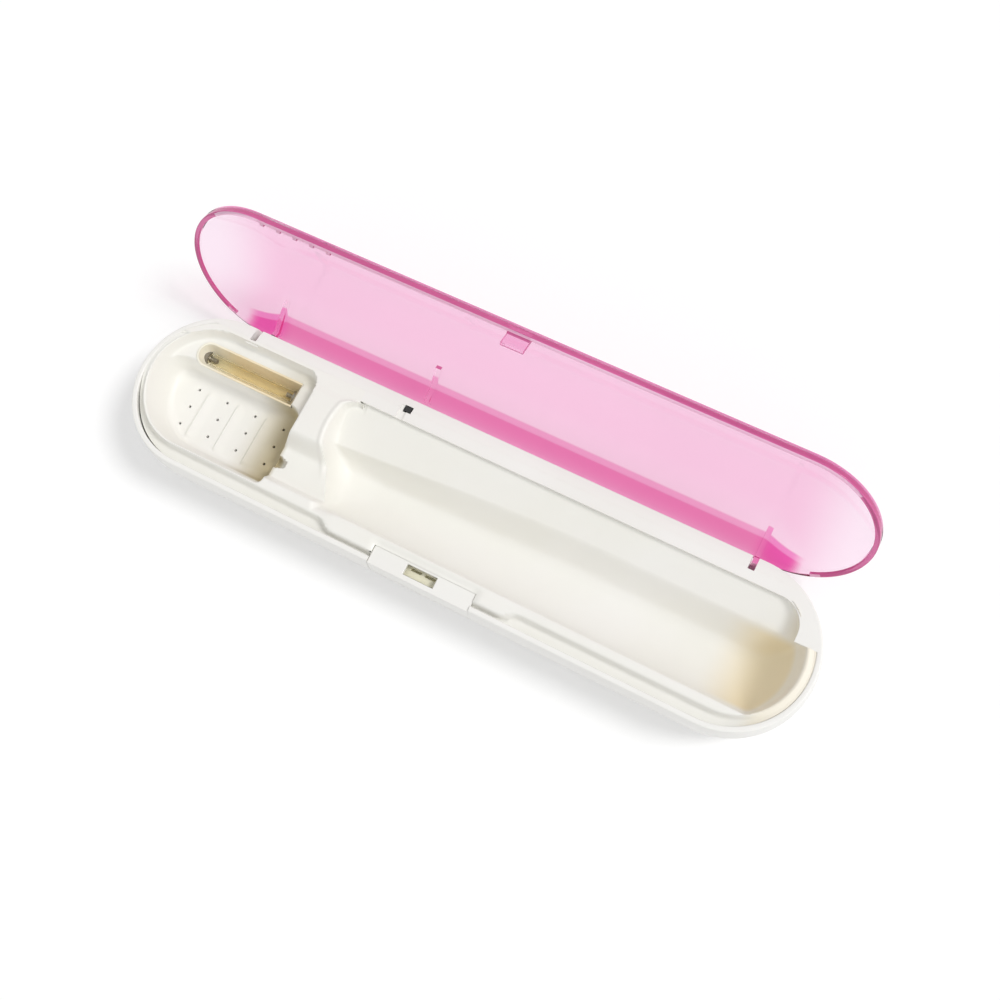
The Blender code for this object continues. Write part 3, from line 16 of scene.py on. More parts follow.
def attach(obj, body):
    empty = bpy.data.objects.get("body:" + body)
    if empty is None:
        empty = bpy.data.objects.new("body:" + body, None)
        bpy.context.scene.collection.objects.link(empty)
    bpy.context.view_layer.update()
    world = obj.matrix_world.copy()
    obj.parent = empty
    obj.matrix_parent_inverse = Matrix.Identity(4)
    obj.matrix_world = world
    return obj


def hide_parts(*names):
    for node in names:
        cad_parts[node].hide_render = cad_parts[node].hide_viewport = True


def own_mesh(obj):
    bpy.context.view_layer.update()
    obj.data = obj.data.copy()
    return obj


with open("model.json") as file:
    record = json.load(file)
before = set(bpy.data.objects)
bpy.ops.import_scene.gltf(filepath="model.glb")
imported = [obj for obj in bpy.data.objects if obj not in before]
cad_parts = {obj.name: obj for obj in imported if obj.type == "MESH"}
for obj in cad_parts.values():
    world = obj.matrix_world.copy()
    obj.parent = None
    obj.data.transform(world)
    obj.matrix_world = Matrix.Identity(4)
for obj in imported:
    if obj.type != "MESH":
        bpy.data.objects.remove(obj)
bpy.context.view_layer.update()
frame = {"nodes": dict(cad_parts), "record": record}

# %% [markdown]
# The camera comes first, because every later choice is judged through it. Its
# place was found from the rim, the lid and the hinge line in the photograph:
# it stands high, in front of the handle end, and is rolled a little.

# %% Camera
MM = 0.001
AZIMUTH = radians(48.63)
ELEVATION = radians(72.82)
ROLL = radians(-22.17)
LOOK_AT = Vector((10.0, 8.2, 22.0)) * MM
DISTANCE = 353 * MM
FOCAL_SHARE = 1.23
SENSOR = 36


def aimed_camera():
    way = Vector((sin(AZIMUTH) * cos(ELEVATION), -cos(AZIMUTH) * cos(ELEVATION), sin(ELEVATION)))
    level = Vector((cos(AZIMUTH), sin(AZIMUTH), 0))
    steep = way.cross(level)
    right = cos(ROLL) * level + sin(ROLL) * steep
    up = -sin(ROLL) * level + cos(ROLL) * steep
    made = bpy.data.cameras.new("camera")
    made.sensor_width = SENSOR
    made.lens = FOCAL_SHARE * SENSOR
    made.clip_start = 10 * MM
    holder = bpy.data.objects.new("camera", made)
    bpy.context.scene.collection.objects.link(holder)
    place = Matrix((right, up, way)).transposed().to_4x4()
    place.translation = LOOK_AT + way * DISTANCE
    holder.matrix_world = place
    bpy.context.scene.camera = holder
    return holder


camera = aimed_camera()
print("camera at", [round(value, 3) for value in camera.matrix_world.translation])

# %% [markdown]
# Every shader tree is built from a few small helpers: one Math node, a product
# of masks, a smooth step, a plain range and a mix of two colours.

# %% Helpers for shader trees
def math_in(tree, operation, first, second=None):
    """One Math node; a plain number may stand for either input."""
    node = tree.nodes.new("ShaderNodeMath")
    node.operation = operation
    for socket, value in zip(node.inputs, (first, second)):
        if isinstance(value, (int, float)):
            socket.default_value = value
        elif value is not None:
            tree.links.new(value, socket)
    return node.outputs[0]


def product_in(tree, *values):
    """Several masks or numbers, multiplied."""
    whole = values[0]
    for value in values[1:]:
        whole = math_in(tree, "MULTIPLY", whole, value)
    return whole


def ramp_in(tree, value, low, high):
    """A smooth step from zero to one as a value goes from low to high."""
    node = tree.nodes.new("ShaderNodeMapRange")
    node.interpolation_type = "SMOOTHSTEP"
    node.inputs["From Min"].default_value = low
    node.inputs["From Max"].default_value = high
    tree.links.new(value, node.inputs["Value"])
    return node.outputs["Result"]


def range_in(tree, value, low, high):
    """A share from zero to one, spread evenly from low to high."""
    node = tree.nodes.new("ShaderNodeMapRange")
    node.inputs["To Min"].default_value = low
    node.inputs["To Max"].default_value = high
    tree.links.new(value, node.inputs["Value"])
    return node.outputs["Result"]


def mix_in(tree, share, first, second):
    """Two colours mixed by a share; each is a socket or three numbers."""
    node = tree.nodes.new("ShaderNodeMix")
    node.data_type = "RGBA"
    tree.links.new(share, node.inputs["Factor"])
    for name, colour in (("A", first), ("B", second)):
        if isinstance(colour, tuple):
            node.inputs[name].default_value = (*colour, 1)
        else:
            tree.links.new(colour, node.inputs[name])
    return node.outputs["Result"]


def seen_directly(tree):
    """One where a ray comes from the camera, a mirror or glass, and zero elsewhere."""
    path = tree.nodes.new("ShaderNodeLightPath").outputs
    first = math_in(tree, "MAXIMUM", path["Is Camera Ray"], path["Is Glossy Ray"])
    return math_in(tree, "MAXIMUM", first, path["Is Transmission Ray"])


print("shader helpers ready")

# %% [markdown]
# The photograph is a bright product shot: one soft key light from behind on
# the right, a weaker one in front, plenty of fill, and a floor so pale that
# it reads as white. The world gives the fill. It is plain white only to rays
# that see it directly, which Light Path picks out, and dimmer as a light.

# %% World and key lights
FILL = 0.62
LAMPS = {
    "key": (1.3, radians(18), Vector((8.0, 3.6, 11.0))),
    "front": (0.3, radians(50), Vector((5.0, -8.0, 6.0))),
}


def studio():
    world = bpy.data.worlds.new("studio")
    world.use_nodes = True
    tree = world.node_tree
    back = tree.nodes["Background"]
    back.inputs["Color"].default_value = (1, 1, 1, 1)
    tree.links.new(range_in(tree, seen_directly(tree), FILL, 1.0), back.inputs["Strength"])
    bpy.context.scene.world = world
    for name, (power, size, way) in LAMPS.items():
        lamp = bpy.data.lights.new(name, "SUN")
        lamp.energy = power
        lamp.angle = size
        holder = bpy.data.objects.new(name, lamp)
        bpy.context.scene.collection.objects.link(holder)
        holder.rotation_euler = way.to_track_quat("Z", "Y").to_euler()
    bpy.context.scene.view_settings.view_transform = "Standard"


studio()
print("fill", FILL, "lamps", list(LAMPS))

# %% [markdown]
# The floor is a plain pale sheet that keeps the object's shadow. A little
# emission, only for rays that see it directly, lifts it to white.

# %% Floor
FLOOR_HALF = 3.0
FLOOR_LIFT = 0.17
FLOOR_TONE = 0.86
FLOOR_ROUGHNESS = 0.9
FLOOR_SHINE = 0.1


def pale_floor():
    sheet = bmesh.new()
    bmesh.ops.create_grid(sheet, x_segments=1, y_segments=1, size=FLOOR_HALF)
    mesh = bpy.data.meshes.new("floor")
    sheet.to_mesh(mesh)
    sheet.free()
    floor = bpy.data.objects.new("floor", mesh)
    bpy.context.scene.collection.objects.link(floor)
    made = bpy.data.materials.new("floor")
    made.use_nodes = True
    tree = made.node_tree
    shader = tree.nodes["Principled BSDF"]
    shader.inputs["Base Color"].default_value = (FLOOR_TONE, FLOOR_TONE, FLOOR_TONE, 1)
    shader.inputs["Roughness"].default_value = FLOOR_ROUGHNESS
    shader.inputs["Specular IOR Level"].default_value = FLOOR_SHINE
    shader.inputs["Emission Color"].default_value = (1, 1, 1, 1)
    lift = range_in(tree, seen_directly(tree), 0.0, FLOOR_LIFT)
    tree.links.new(lift, shader.inputs["Emission Strength"])
    mesh.materials.append(made)


pale_floor()
print("floor laid")

# %% [markdown]
# Two shared effects are shader node groups. Moulded plastic is never quite
# even: it has a broad drift of tone and gloss, and a very fine grain from the
# mould. Drawn metal has fine lines along it. Each group only puts out masks
# and heights, and every material feeds them to its own shader.

# %% Shared node groups
def group_with(name, inputs, outputs):
    """A group that takes a Vector and further named values, and puts out masks."""
    group = bpy.data.node_groups.new(name, "ShaderNodeTree")
    socket = group.interface.new_socket
    socket(name="Vector", in_out="INPUT", socket_type="NodeSocketVector")
    for label, value in inputs.items():
        kind = "NodeSocketVector" if isinstance(value, tuple) else "NodeSocketFloat"
        socket(name=label, in_out="INPUT", socket_type=kind).default_value = value
    for label in outputs:
        socket(name=label, in_out="OUTPUT", socket_type="NodeSocketFloat")
    return group, group.nodes.new("NodeGroupInput"), group.nodes.new("NodeGroupOutput")


def noise_in(group, vector, scale, detail):
    node = group.nodes.new("ShaderNodeTexNoise")
    node.inputs["Detail"].default_value = detail
    group.links.new(vector, node.inputs["Vector"])
    group.links.new(scale, node.inputs["Scale"])
    return node.outputs["Fac"]


def moulding_group():
    inputs = {"Drift Scale": 30.0, "Grain Scale": 2500.0}
    group, start, end = group_with("moulding", inputs, ["Drift", "Grain"])
    drift = noise_in(group, start.outputs["Vector"], start.outputs["Drift Scale"], 3.0)
    spread = group.nodes.new("ShaderNodeMapRange")
    spread.inputs["From Min"].default_value = 0.3
    spread.inputs["From Max"].default_value = 0.7
    group.links.new(drift, spread.inputs["Value"])
    group.links.new(spread.outputs["Result"], end.inputs["Drift"])
    grain = noise_in(group, start.outputs["Vector"], start.outputs["Grain Scale"], 2.0)
    group.links.new(grain, end.inputs["Grain"])
    return group


def drawn_group():
    inputs = {"Line Scale": 900.0, "Stretch": (0.05, 1.0, 1.0)}
    group, start, end = group_with("drawn_metal", inputs, ["Drift", "Grain"])
    stretch = group.nodes.new("ShaderNodeVectorMath")
    stretch.operation = "MULTIPLY"
    group.links.new(start.outputs["Vector"], stretch.inputs[0])
    group.links.new(start.outputs["Stretch"], stretch.inputs[1])
    lines = noise_in(group, stretch.outputs["Vector"], start.outputs["Line Scale"], 4.0)
    group.links.new(lines, end.inputs["Grain"])
    patches = group.nodes.new("ShaderNodeTexNoise")
    patches.inputs["Scale"].default_value = 120.0
    group.links.new(start.outputs["Vector"], patches.inputs["Vector"])
    group.links.new(patches.outputs["Fac"], end.inputs["Drift"])
    return group


MOULDING = moulding_group()
DRAWN = drawn_group()
print("groups:", MOULDING.name, DRAWN.name)

# %% [markdown]
# One recipe makes each opaque finish. The group's drift mixes two close
# colours and moves the gloss a little, and its grain feeds a Bump node.

# %% A finish from a group
def finish(name, light, dark, gloss, grain_height, group=MOULDING, metallic=0.0, ior=1.46):
    """An opaque material: two close colours, a range of roughness and a fine grain."""
    made = bpy.data.materials.new(name)
    made.use_nodes = True
    tree = made.node_tree
    shader = tree.nodes["Principled BSDF"]
    place = tree.nodes.new("ShaderNodeTexCoord")
    effect = tree.nodes.new("ShaderNodeGroup")
    effect.node_tree = group
    tree.links.new(place.outputs["Object"], effect.inputs["Vector"])
    drift = effect.outputs["Drift"]
    tree.links.new(mix_in(tree, drift, dark, light), shader.inputs["Base Color"])
    tree.links.new(range_in(tree, drift, *gloss), shader.inputs["Roughness"])
    bump = tree.nodes.new("ShaderNodeBump")
    bump.inputs["Distance"].default_value = grain_height
    bump.inputs["Strength"].default_value = 1.0
    tree.links.new(effect.outputs["Grain"], bump.inputs["Height"])
    tree.links.new(bump.outputs["Normal"], shader.inputs["Normal"])
    shader.inputs["Metallic"].default_value = metallic
    shader.inputs["IOR"].default_value = ior
    made.diffuse_color = (*light, 1)
    return made


MOULD_GRAIN = 0.0015 * MM
WHITE = finish("white_moulding", (0.90, 0.89, 0.86), (0.87, 0.86, 0.82), (0.30, 0.42), MOULD_GRAIN)
TRAY_LIGHT = (0.90, 0.89, 0.85)
TRAY_DARK = (0.88, 0.87, 0.81)
TRAY_WHITE = finish("tray_moulding", TRAY_LIGHT, TRAY_DARK, (0.34, 0.46), MOULD_GRAIN)
print("finishes:", WHITE.name, TRAY_WHITE.name)

# %% [markdown]
# Some tones are painted light and shade, laid at a place on the object. The tray's two deep ends
# are warmer than its middle: painted warm shade in those hollows. The lid is deep pink in a band at
# its foot, a painted shadow, and pale at its two ends, painted light. Zones like these are masks
# made from Object coordinates, in a node group of their own, and a wash lays a colour over the
# finish where a mask says.

# %% Masks from a place
def zone_group(name, masks):
    """An empty group that takes a place and puts out masks, with the place's three numbers."""
    group, start, end = group_with(name, {}, masks)
    split = group.nodes.new("ShaderNodeSeparateXYZ")
    group.links.new(start.outputs["Vector"], split.inputs[0])
    return group, end, list(split.outputs)


def tint_over(made, share, colour):
    """Lay a colour over a finish's own colour, as far as a share says."""
    tree = made.node_tree
    base = tree.nodes["Principled BSDF"].inputs["Base Color"]
    tree.links.new(mix_in(tree, share, base.links[0].from_socket, colour), base)


def washed(made, group, washes):
    """Lay colours over a finish's own colour where a group's masks say."""
    tree = made.node_tree
    place = tree.nodes.new("ShaderNodeTexCoord")
    zones = tree.nodes.new("ShaderNodeGroup")
    zones.node_tree = group
    tree.links.new(place.outputs["Object"], zones.inputs["Vector"])
    for mask, colour in washes:
        tint_over(made, zones.outputs[mask], colour)


print("mask helpers ready")

# %% Painted warm shade in the tray's two deep ends
BAY_PAINTED_SHADE = (0.50, 0.43, 0.27)
BAY_SHADE_RISE = (-76 * MM, -61 * MM)
BAY_SHADE_STOP = (-56.6 * MM, -58.2 * MM)
BAY_SHADE_DEPTH = (19.5 * MM, 15 * MM)
BOWL_PAINTED_SHADE = (0.88, 0.77, 0.54)
BOWL_SHADE_RISE = (80 * MM, 97 * MM)
BOWL_SHADE_DEPTH = (17 * MM, 12.5 * MM)
END_LIP_SHADE = (95 * MM, 101 * MM)
END_LIP_SHADE_SHARE = 0.4


# Painted shade: tan deep in the head bay's right end, and straw deep in the handle end's bowl and a
# little on its end lip.
def tray_painted_shade():
    group, end, (x, y, z) = zone_group("tray_painted_shade", ["Bay Shade", "Bowl Shade"])
    right = ramp_in(group, x, *BAY_SHADE_STOP)
    bay = product_in(group, ramp_in(group, x, *BAY_SHADE_RISE), right, ramp_in(group, z, *BAY_SHADE_DEPTH))
    group.links.new(bay, end.inputs["Bay Shade"])
    bowl = product_in(group, ramp_in(group, x, *BOWL_SHADE_RISE), ramp_in(group, z, *BOWL_SHADE_DEPTH))
    lip = product_in(group, ramp_in(group, x, *END_LIP_SHADE), END_LIP_SHADE_SHARE)
    group.links.new(math_in(group, "MAXIMUM", bowl, lip), end.inputs["Bowl Shade"])
    return group


washed(TRAY_WHITE, tray_painted_shade(), [("Bowl Shade", BOWL_PAINTED_SHADE), ("Bay Shade", BAY_PAINTED_SHADE)])
print("tray zones placed")

# %% [markdown]
# The clear pink plastic is real glass-like material: the Principled shader
# with full Transmission, its Base Color the tint of one wall. Shadow rays and
# soft bounced rays pass straight through a Transparent shader of a paler
# tint, so the floor behind the lid stays as bright as in the photograph.

# %% Clear pink plastic
PINK = (0.955, 0.62, 0.80)
# The three colours after the lid's own pink are a painted shadow, a deeper painted shadow and
# painted light.
PINK_PAINTED_SHADOW = (0.87, 0.25, 0.52)
PINK_DEEPER_SHADOW = (0.86, 0.12, 0.46)
PINK_PAINTED_LIGHT = (0.985, 0.86, 0.95)
PINK_EDGE = (0.84, 0.34, 0.58)
PINK_THROUGH = (0.98, 0.90, 0.94)
POLISH = 0.0004 * MM


def let_through(made, share, colour):
    """Mix a Transparent shader of a colour over a material's surface, as far as a share says."""
    tree = made.node_tree
    through = tree.nodes.new("ShaderNodeBsdfTransparent")
    through.inputs["Color"].default_value = (*colour, 1)
    mixed = tree.nodes.new("ShaderNodeMixShader")
    surface = tree.nodes["Material Output"].inputs["Surface"]
    tree.links.new(share, mixed.inputs["Fac"])
    tree.links.new(surface.links[0].from_socket, mixed.inputs[1])
    tree.links.new(through.outputs["BSDF"], mixed.inputs[2])
    tree.links.new(mixed.outputs["Shader"], surface)


def clear_plastic(name, tint, passing, gloss, ior):
    made = finish(name, tint, tuple(value * 0.98 for value in tint), gloss, POLISH, ior=ior)
    tree = made.node_tree
    tree.nodes["Principled BSDF"].inputs["Transmission Weight"].default_value = 1.0
    path = tree.nodes.new("ShaderNodeLightPath").outputs
    either = math_in(tree, "MAXIMUM", path["Is Shadow Ray"], path["Is Diffuse Ray"])
    let_through(made, either, passing)
    return made


PINK_CLEAR = clear_plastic("clear_pink", PINK, PINK_THROUGH, (0.03, 0.06), 1.25)
print("clear plastic:", PINK_CLEAR.name)

# %% [markdown]
# The lid's painted light and shadow are told in its shut place, where a height above the rim has a
# plain meaning, so the masks first turn each point shut about the hinge. The deep pink band at its
# foot is a painted shadow: the floor under the lid, lit only through the lid and seen through it
# again, deeper towards its ends. The lid's two ends and a strip just above the shadow's edge are
# painted light: lit floor seen through the lid.
# The thin rims are deep magenta because one looks along the wall there, and
# Layer Weight's Facing finds them.

# %% Painted light and shadow of the lid
HINGE_Y = 20.9 * MM
HINGE_Z = 13.8 * MM
RIM = 22.0 * MM
OPEN_ANGLE = radians(112.5)
SHADOW_EDGE_HEIGHT = 5.7 * MM
SHADOW_EDGE_BACK = 12 * MM
SHADOW_EDGE_SOFT = 6 * MM
SHADOW_EDGE_BEND = 82 * MM
SHADOW_EDGE_FALL = 0.17
SHADOW_TOP = (0.3 * MM, -0.1 * MM)
SHADOW_FADE = (-1 * MM, -6 * MM)
SHADOW_FADE_SHARE = 0.3
SHADOW_END = (95 * MM, 90 * MM)
DEEPER_SHADOW_RISE = (78 * MM, 85 * MM)
LIT_END_RISE = (84 * MM, 106 * MM)
LIT_END_SHARE = 0.9
PAINTED_GLOW_RISE = (5 * MM, 0.2 * MM)
PAINTED_GLOW_SHARE = 0.45
EDGE_TINT = (0.7, 1.0)
EDGE_OPEN = (0.72, 0.92)


# Painted shadow in a band along the lid's foot, deeper near its ends; painted light at its two ends
# and just above the shadow's edge.
def lid_light_and_shadow():
    group, end, (x, y, z) = zone_group("lid_light_and_shadow", ["Painted Shadow", "Painted Light", "Deep Shade"])
    away = math_in(group, "SUBTRACT", y, HINGE_Y)
    up = math_in(group, "SUBTRACT", z, HINGE_Z)

    def turned(y_share, z_share):
        parts = product_in(group, away, y_share), product_in(group, up, z_share)
        return math_in(group, "ADD", *parts)

    back = turned(cos(OPEN_ANGLE), -sin(OPEN_ANGLE))
    height = turned(sin(OPEN_ANGLE), cos(OPEN_ANGLE))
    height = math_in(group, "ADD", height, HINGE_Z - RIM - SHADOW_EDGE_HEIGHT)
    out = math_in(group, "ABSOLUTE", x)
    past = math_in(group, "MAXIMUM", math_in(group, "SUBTRACT", out, SHADOW_EDGE_BEND), 0.0)
    above = math_in(group, "ADD", height, product_in(group, past, SHADOW_EDGE_FALL))
    fade = product_in(group, ramp_in(group, above, *SHADOW_FADE), SHADOW_FADE_SHARE)
    shadow_band = product_in(
        group,
        ramp_in(group, above, *SHADOW_TOP),
        ramp_in(group, back, SHADOW_EDGE_BACK - HINGE_Y - SHADOW_EDGE_SOFT, SHADOW_EDGE_BACK - HINGE_Y),
        math_in(group, "SUBTRACT", 1.0, fade),
        ramp_in(group, out, *SHADOW_END),
    )
    group.links.new(shadow_band, end.inputs["Painted Shadow"])
    deep_shadow = product_in(group, shadow_band, ramp_in(group, out, *DEEPER_SHADOW_RISE))
    group.links.new(deep_shadow, end.inputs["Deep Shade"])
    ends = product_in(group, ramp_in(group, out, *LIT_END_RISE), LIT_END_SHARE)
    painted_glow = product_in(group, ramp_in(group, above, *PAINTED_GLOW_RISE), PAINTED_GLOW_SHARE)
    group.links.new(math_in(group, "MAXIMUM", ends, painted_glow), end.inputs["Painted Light"])
    return group


def edge_wash(made, colour):
    """Deepen a clear wall where it is seen edge on, and let that edge pass light unbent."""
    tree = made.node_tree
    facing = tree.nodes.new("ShaderNodeLayerWeight").outputs["Facing"]
    tint_over(made, ramp_in(tree, facing, *EDGE_TINT), colour)
    let_through(made, ramp_in(tree, facing, *EDGE_OPEN), colour)


washed(PINK_CLEAR, lid_light_and_shadow(), [("Painted Light", PINK_PAINTED_LIGHT), ("Painted Shadow", PINK_PAINTED_SHADOW), ("Deep Shade", PINK_DEEPER_SHADOW)])
edge_wash(PINK_CLEAR, PINK_EDGE)
print("lid zones placed")

# %% [markdown]
# A few helpers serve every new piece. One turns a bmesh into an object that
# rides on a body and stands for its CAD nodes. One makes the shape that the
# casing and the lid share: a profile spun half a turn round each end's centre
# and extruded along the straight sides between them. The others make blocks,
# plates and rods, and carve one shape with others.

# %% Helpers for pieces
END_CENTRE = 85.4 * MM
SWEEP_STEPS = 48
WELD = 0.001 * MM
COPY_WELD = 0.002 * MM


def piece(name, build, material, body, nodes):
    """A finished object from a bmesh, riding on a body in place of CAD nodes."""
    mesh = bpy.data.meshes.new(name)
    build.to_mesh(mesh)
    build.free()
    mesh.materials.append(material)
    made = bpy.data.objects.new(name, mesh)
    bpy.context.scene.collection.objects.link(made)
    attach(made, body)
    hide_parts(*nodes)
    return made


def verts_in(items):
    return [item for item in items if isinstance(item, bmesh.types.BMVert)]


def edges_in(items):
    return [item for item in items if isinstance(item, bmesh.types.BMEdge)]


def swept_round(profile):
    """(radius, height) pairs swept round the capsule: from axis to axis, or a closed ring."""
    build = bmesh.new()
    verts = [build.verts.new((END_CENTRE, -radius, height)) for radius, height in profile]
    edges = [build.edges.new(pair) for pair in zip(verts, verts[1:])]
    if profile[0][0] > 0:
        edges.append(build.edges.new((verts[-1], verts[0])))
    front = verts + edges
    for side in (1, -1):
        centre = (side * END_CENTRE, 0, 0)
        turned = bmesh.ops.spin(
            build, geom=front, cent=centre, axis=(0, 0, 1), angle=pi, steps=SWEEP_STEPS
        )
        last = edges_in(turned["geom_last"])
        along = bmesh.ops.extrude_edge_only(build, edges=last)["geom"]
        moved = verts_in(along)
        bmesh.ops.translate(build, verts=moved, vec=(-2 * side * END_CENTRE, 0, 0))
        front = moved + edges_in(along)
    bmesh.ops.remove_doubles(build, verts=build.verts, dist=WELD)
    bmesh.ops.dissolve_degenerate(build, edges=build.edges, dist=WELD)
    bmesh.ops.recalc_face_normals(build, faces=build.faces)
    return build


def about(middle, half):
    return (middle - half, middle + half)


def block(x, y, z):
    """A box from its low and high values on each axis."""
    build = bmesh.new()
    bmesh.ops.create_cube(build, size=1)
    middle = [(pair[0] + pair[1]) / 2 for pair in (x, y, z)]
    size = [pair[1] - pair[0] for pair in (x, y, z)]
    bmesh.ops.scale(build, verts=build.verts, vec=size)
    bmesh.ops.translate(build, verts=build.verts, vec=middle)
    return build


def plate(outline, way):
    """A flat outline of points, filled and extruded by a vector."""
    build = bmesh.new()
    face = build.faces.new([build.verts.new(point) for point in outline])
    grown = bmesh.ops.extrude_face_region(build, geom=[face], use_keep_orig=True)["geom"]
    bmesh.ops.translate(build, verts=verts_in(grown), vec=way)
    bmesh.ops.recalc_face_normals(build, faces=build.faces)
    return build


def flat_plate(outline, low, high):
    """A plate between two heights, from (x, y) pairs."""
    return plate([(x, y, low) for x, y in outline], (0, 0, high - low))


def upright_plate(outline, left, right):
    """A plate between two places along the case, from (y, height) pairs."""
    return plate([(left, y, z) for y, z in outline], (right - left, 0, 0))


def rod(radius, length, segments):
    """A closed cylinder along z."""
    build = bmesh.new()
    radii = {"radius1": radius, "radius2": radius}
    bmesh.ops.create_cone(build, cap_ends=True, segments=segments, depth=length, **radii)
    return build


def merged(builds):
    """Several closed shapes in one bmesh."""
    whole = bmesh.new()
    for build in builds:
        mesh = bpy.data.meshes.new("part_of_shape")
        build.to_mesh(mesh)
        build.free()
        whole.from_mesh(mesh)
        bpy.data.meshes.remove(mesh)
    return whole


def carved_once(build, tool, operation):
    meshes = []
    for name, source in (("shape", build), ("tool", tool)):
        mesh = bpy.data.meshes.new(name)
        source.to_mesh(mesh)
        source.free()
        meshes.append(bpy.data.objects.new(name, mesh))
        bpy.context.scene.collection.objects.link(meshes[-1])
    shape, cutter = meshes
    step = shape.modifiers.new("carve", "BOOLEAN")
    step.operation = operation
    step.object = cutter
    bpy.context.view_layer.update()
    graph = bpy.context.evaluated_depsgraph_get()
    result = bmesh.new()
    result.from_mesh(shape.evaluated_get(graph).data)
    for holder in (shape, cutter):
        mesh = holder.data
        bpy.data.objects.remove(holder)
        bpy.data.meshes.remove(mesh)
    return result


def carved(build, operation, *tools):
    """The shape joined with, cut by or kept inside each tool in turn, by Boolean modifiers."""
    for tool in tools:
        build = carved_once(build, tool, operation)
    return build


def arc(centre_a, centre_b, radius, first, last, steps):
    turns = [first + (last - first) * i / steps for i in range(steps + 1)]
    return [(centre_a + radius * cos(turn), centre_b + radius * sin(turn)) for turn in turns]


def smoothed(obj, angle=40):
    obj.data.shade_smooth()
    obj.data.set_sharp_from_angle(angle=radians(angle))
    return obj


def welded_copy(name):
    """A CAD node's loose triangles in their place, merged into one mesh."""
    node = frame["nodes"][name]
    build = bmesh.new()
    build.from_mesh(node.data)
    bmesh.ops.transform(build, matrix=node.matrix_world, verts=build.verts)
    bmesh.ops.remove_doubles(build, verts=build.verts, dist=COPY_WELD)
    return build


print("helpers ready")

# %% [markdown]
# The casing is the white lower half: a deep capsule with a rounded bottom
# edge, gently bulging sides and a narrow rim. Behind the tray a flat flange
# joins it. A swept profile gives the hull and its softened rim.

# %% Casing sizes
RIM_RADIUS = 24.6 * MM
HULL_BULGE = 0.8 * MM
HULL_FLAT = 17.5 * MM
BULGE_HEIGHT = 14.0 * MM
CASING_WALL = 1.7 * MM
CASING_FLOOR = 1.8 * MM
RIM_ROUND = 0.45 * MM
CORNER_STEPS = 14
SIDE_STEPS = 6


def hull_side(wall, floor):
    """(radius, height) pairs round the bottom corner and up the bulging side."""
    points = []
    for i in range(CORNER_STEPS + 1):
        turn = pi / 2 * i / CORNER_STEPS
        radius = HULL_FLAT - wall + (RIM_RADIUS + HULL_BULGE - HULL_FLAT) * sin(turn)
        points.append((radius, floor + (BULGE_HEIGHT - floor) * (1 - cos(turn))))
    for i in range(1, SIDE_STEPS + 1):
        share = i / SIDE_STEPS
        height = BULGE_HEIGHT + (RIM - RIM_ROUND - BULGE_HEIGHT) * share
        points.append((RIM_RADIUS + HULL_BULGE - wall - HULL_BULGE * share**2, height))
    return points


def casing_profile():
    outer = hull_side(0, 0)
    inner = hull_side(CASING_WALL, CASING_FLOOR)
    crest = arc(RIM_RADIUS - RIM_ROUND, RIM - RIM_ROUND, RIM_ROUND, 0, pi / 2, 4)[1:]
    inner_edge = RIM_RADIUS - CASING_WALL + RIM_ROUND
    crest += arc(inner_edge, RIM - RIM_ROUND, RIM_ROUND, pi / 2, pi, 4)[:-1]
    return [(0, 0)] + outer + crest + inner[::-1] + [(0, CASING_FLOOR)]


hull = swept_round(casing_profile())
print("hull faces:", len(hull.faces))

# %% [markdown]
# The back flange is a plate under the lid's hinge line. Its edge along the
# trough is the thin grey line in the photograph, with a rounded corner at the
# handle end and a shallow slot that leads to the lid switch.

# %% Flange
FLANGE_LOW = 20.8 * MM
RAIL_EDGE = 17.5 * MM
RAIL_START = -41.8 * MM
HEAD_EDGE = 20.86 * MM
CORNER_X = 92.6 * MM
CORNER_RADIUS = 8.0 * MM
RAIL_END_EDGE = 7.4 * MM
OVERRUN = 1.0 * MM
TOP = RIM + OVERRUN
LENGTH = 220 * MM


def flange_outline():
    points = [(-LENGTH, HEAD_EDGE), (RAIL_START, HEAD_EDGE), (RAIL_START, RAIL_EDGE)]
    points += arc(CORNER_X, RAIL_EDGE - CORNER_RADIUS, CORNER_RADIUS, pi / 2, 0, 12)
    points += [(CORNER_X + CORNER_RADIUS, RAIL_END_EDGE), (LENGTH, RAIL_END_EDGE)]
    return points + [(LENGTH, LENGTH), (-LENGTH, LENGTH)]


def flange():
    edge = RIM_RADIUS - RIM_ROUND
    limit = swept_round([(0, 0), (edge, 0), (edge, TOP), (0, TOP)])
    return carved(flat_plate(flange_outline(), FLANGE_LOW, RIM), "INTERSECT", limit)


casing = carved(hull, "UNION", flange())
print("casing with its flange:", len(casing.faces))

# %% [markdown]
# The cuts are the round shoulder that the lid's back edge sweeps, the slots of
# the lid's two arms, the button's window in the front wall, the battery door's
# opening and the switch's slot and hole. Each arm's slot first gets a block of
# plastic behind it.

# %% Casing cuts
SHOULDER_RADIUS = 7.9 * MM
ARM_PLACE = 82.0 * MM
ARM_SLOT_HALF = 1.0 * MM
ARM_SLOT_LOW = 10.6 * MM
ARM_SLOT_FRONT = 17.9 * MM
ARM_SLOT_HIGH = HINGE_Y - 0.4 * MM
ARM_SLOT_BACK = 27 * MM
POCKET_WALL = 1.2 * MM
POCKET_TOP = 16.8 * MM
POCKET_BACK = 24 * MM
FLANGE_BITE = 0.4 * MM
BUTTON_HALF = 16.6 * MM
BUTTON_LOW = 13.1 * MM
BUTTON_BACK = 19.3 * MM
FRONT = -27 * MM
DOOR_X = (-18.8 * MM, 77.2 * MM)
DOOR_Y = (5.95 * MM, 17.65 * MM)
SWITCH_X = -27.6 * MM
SWITCH_Y = 21.2 * MM
HOLE_HALF_X = 1.4 * MM
HOLE_HALF_Y = 1.1 * MM
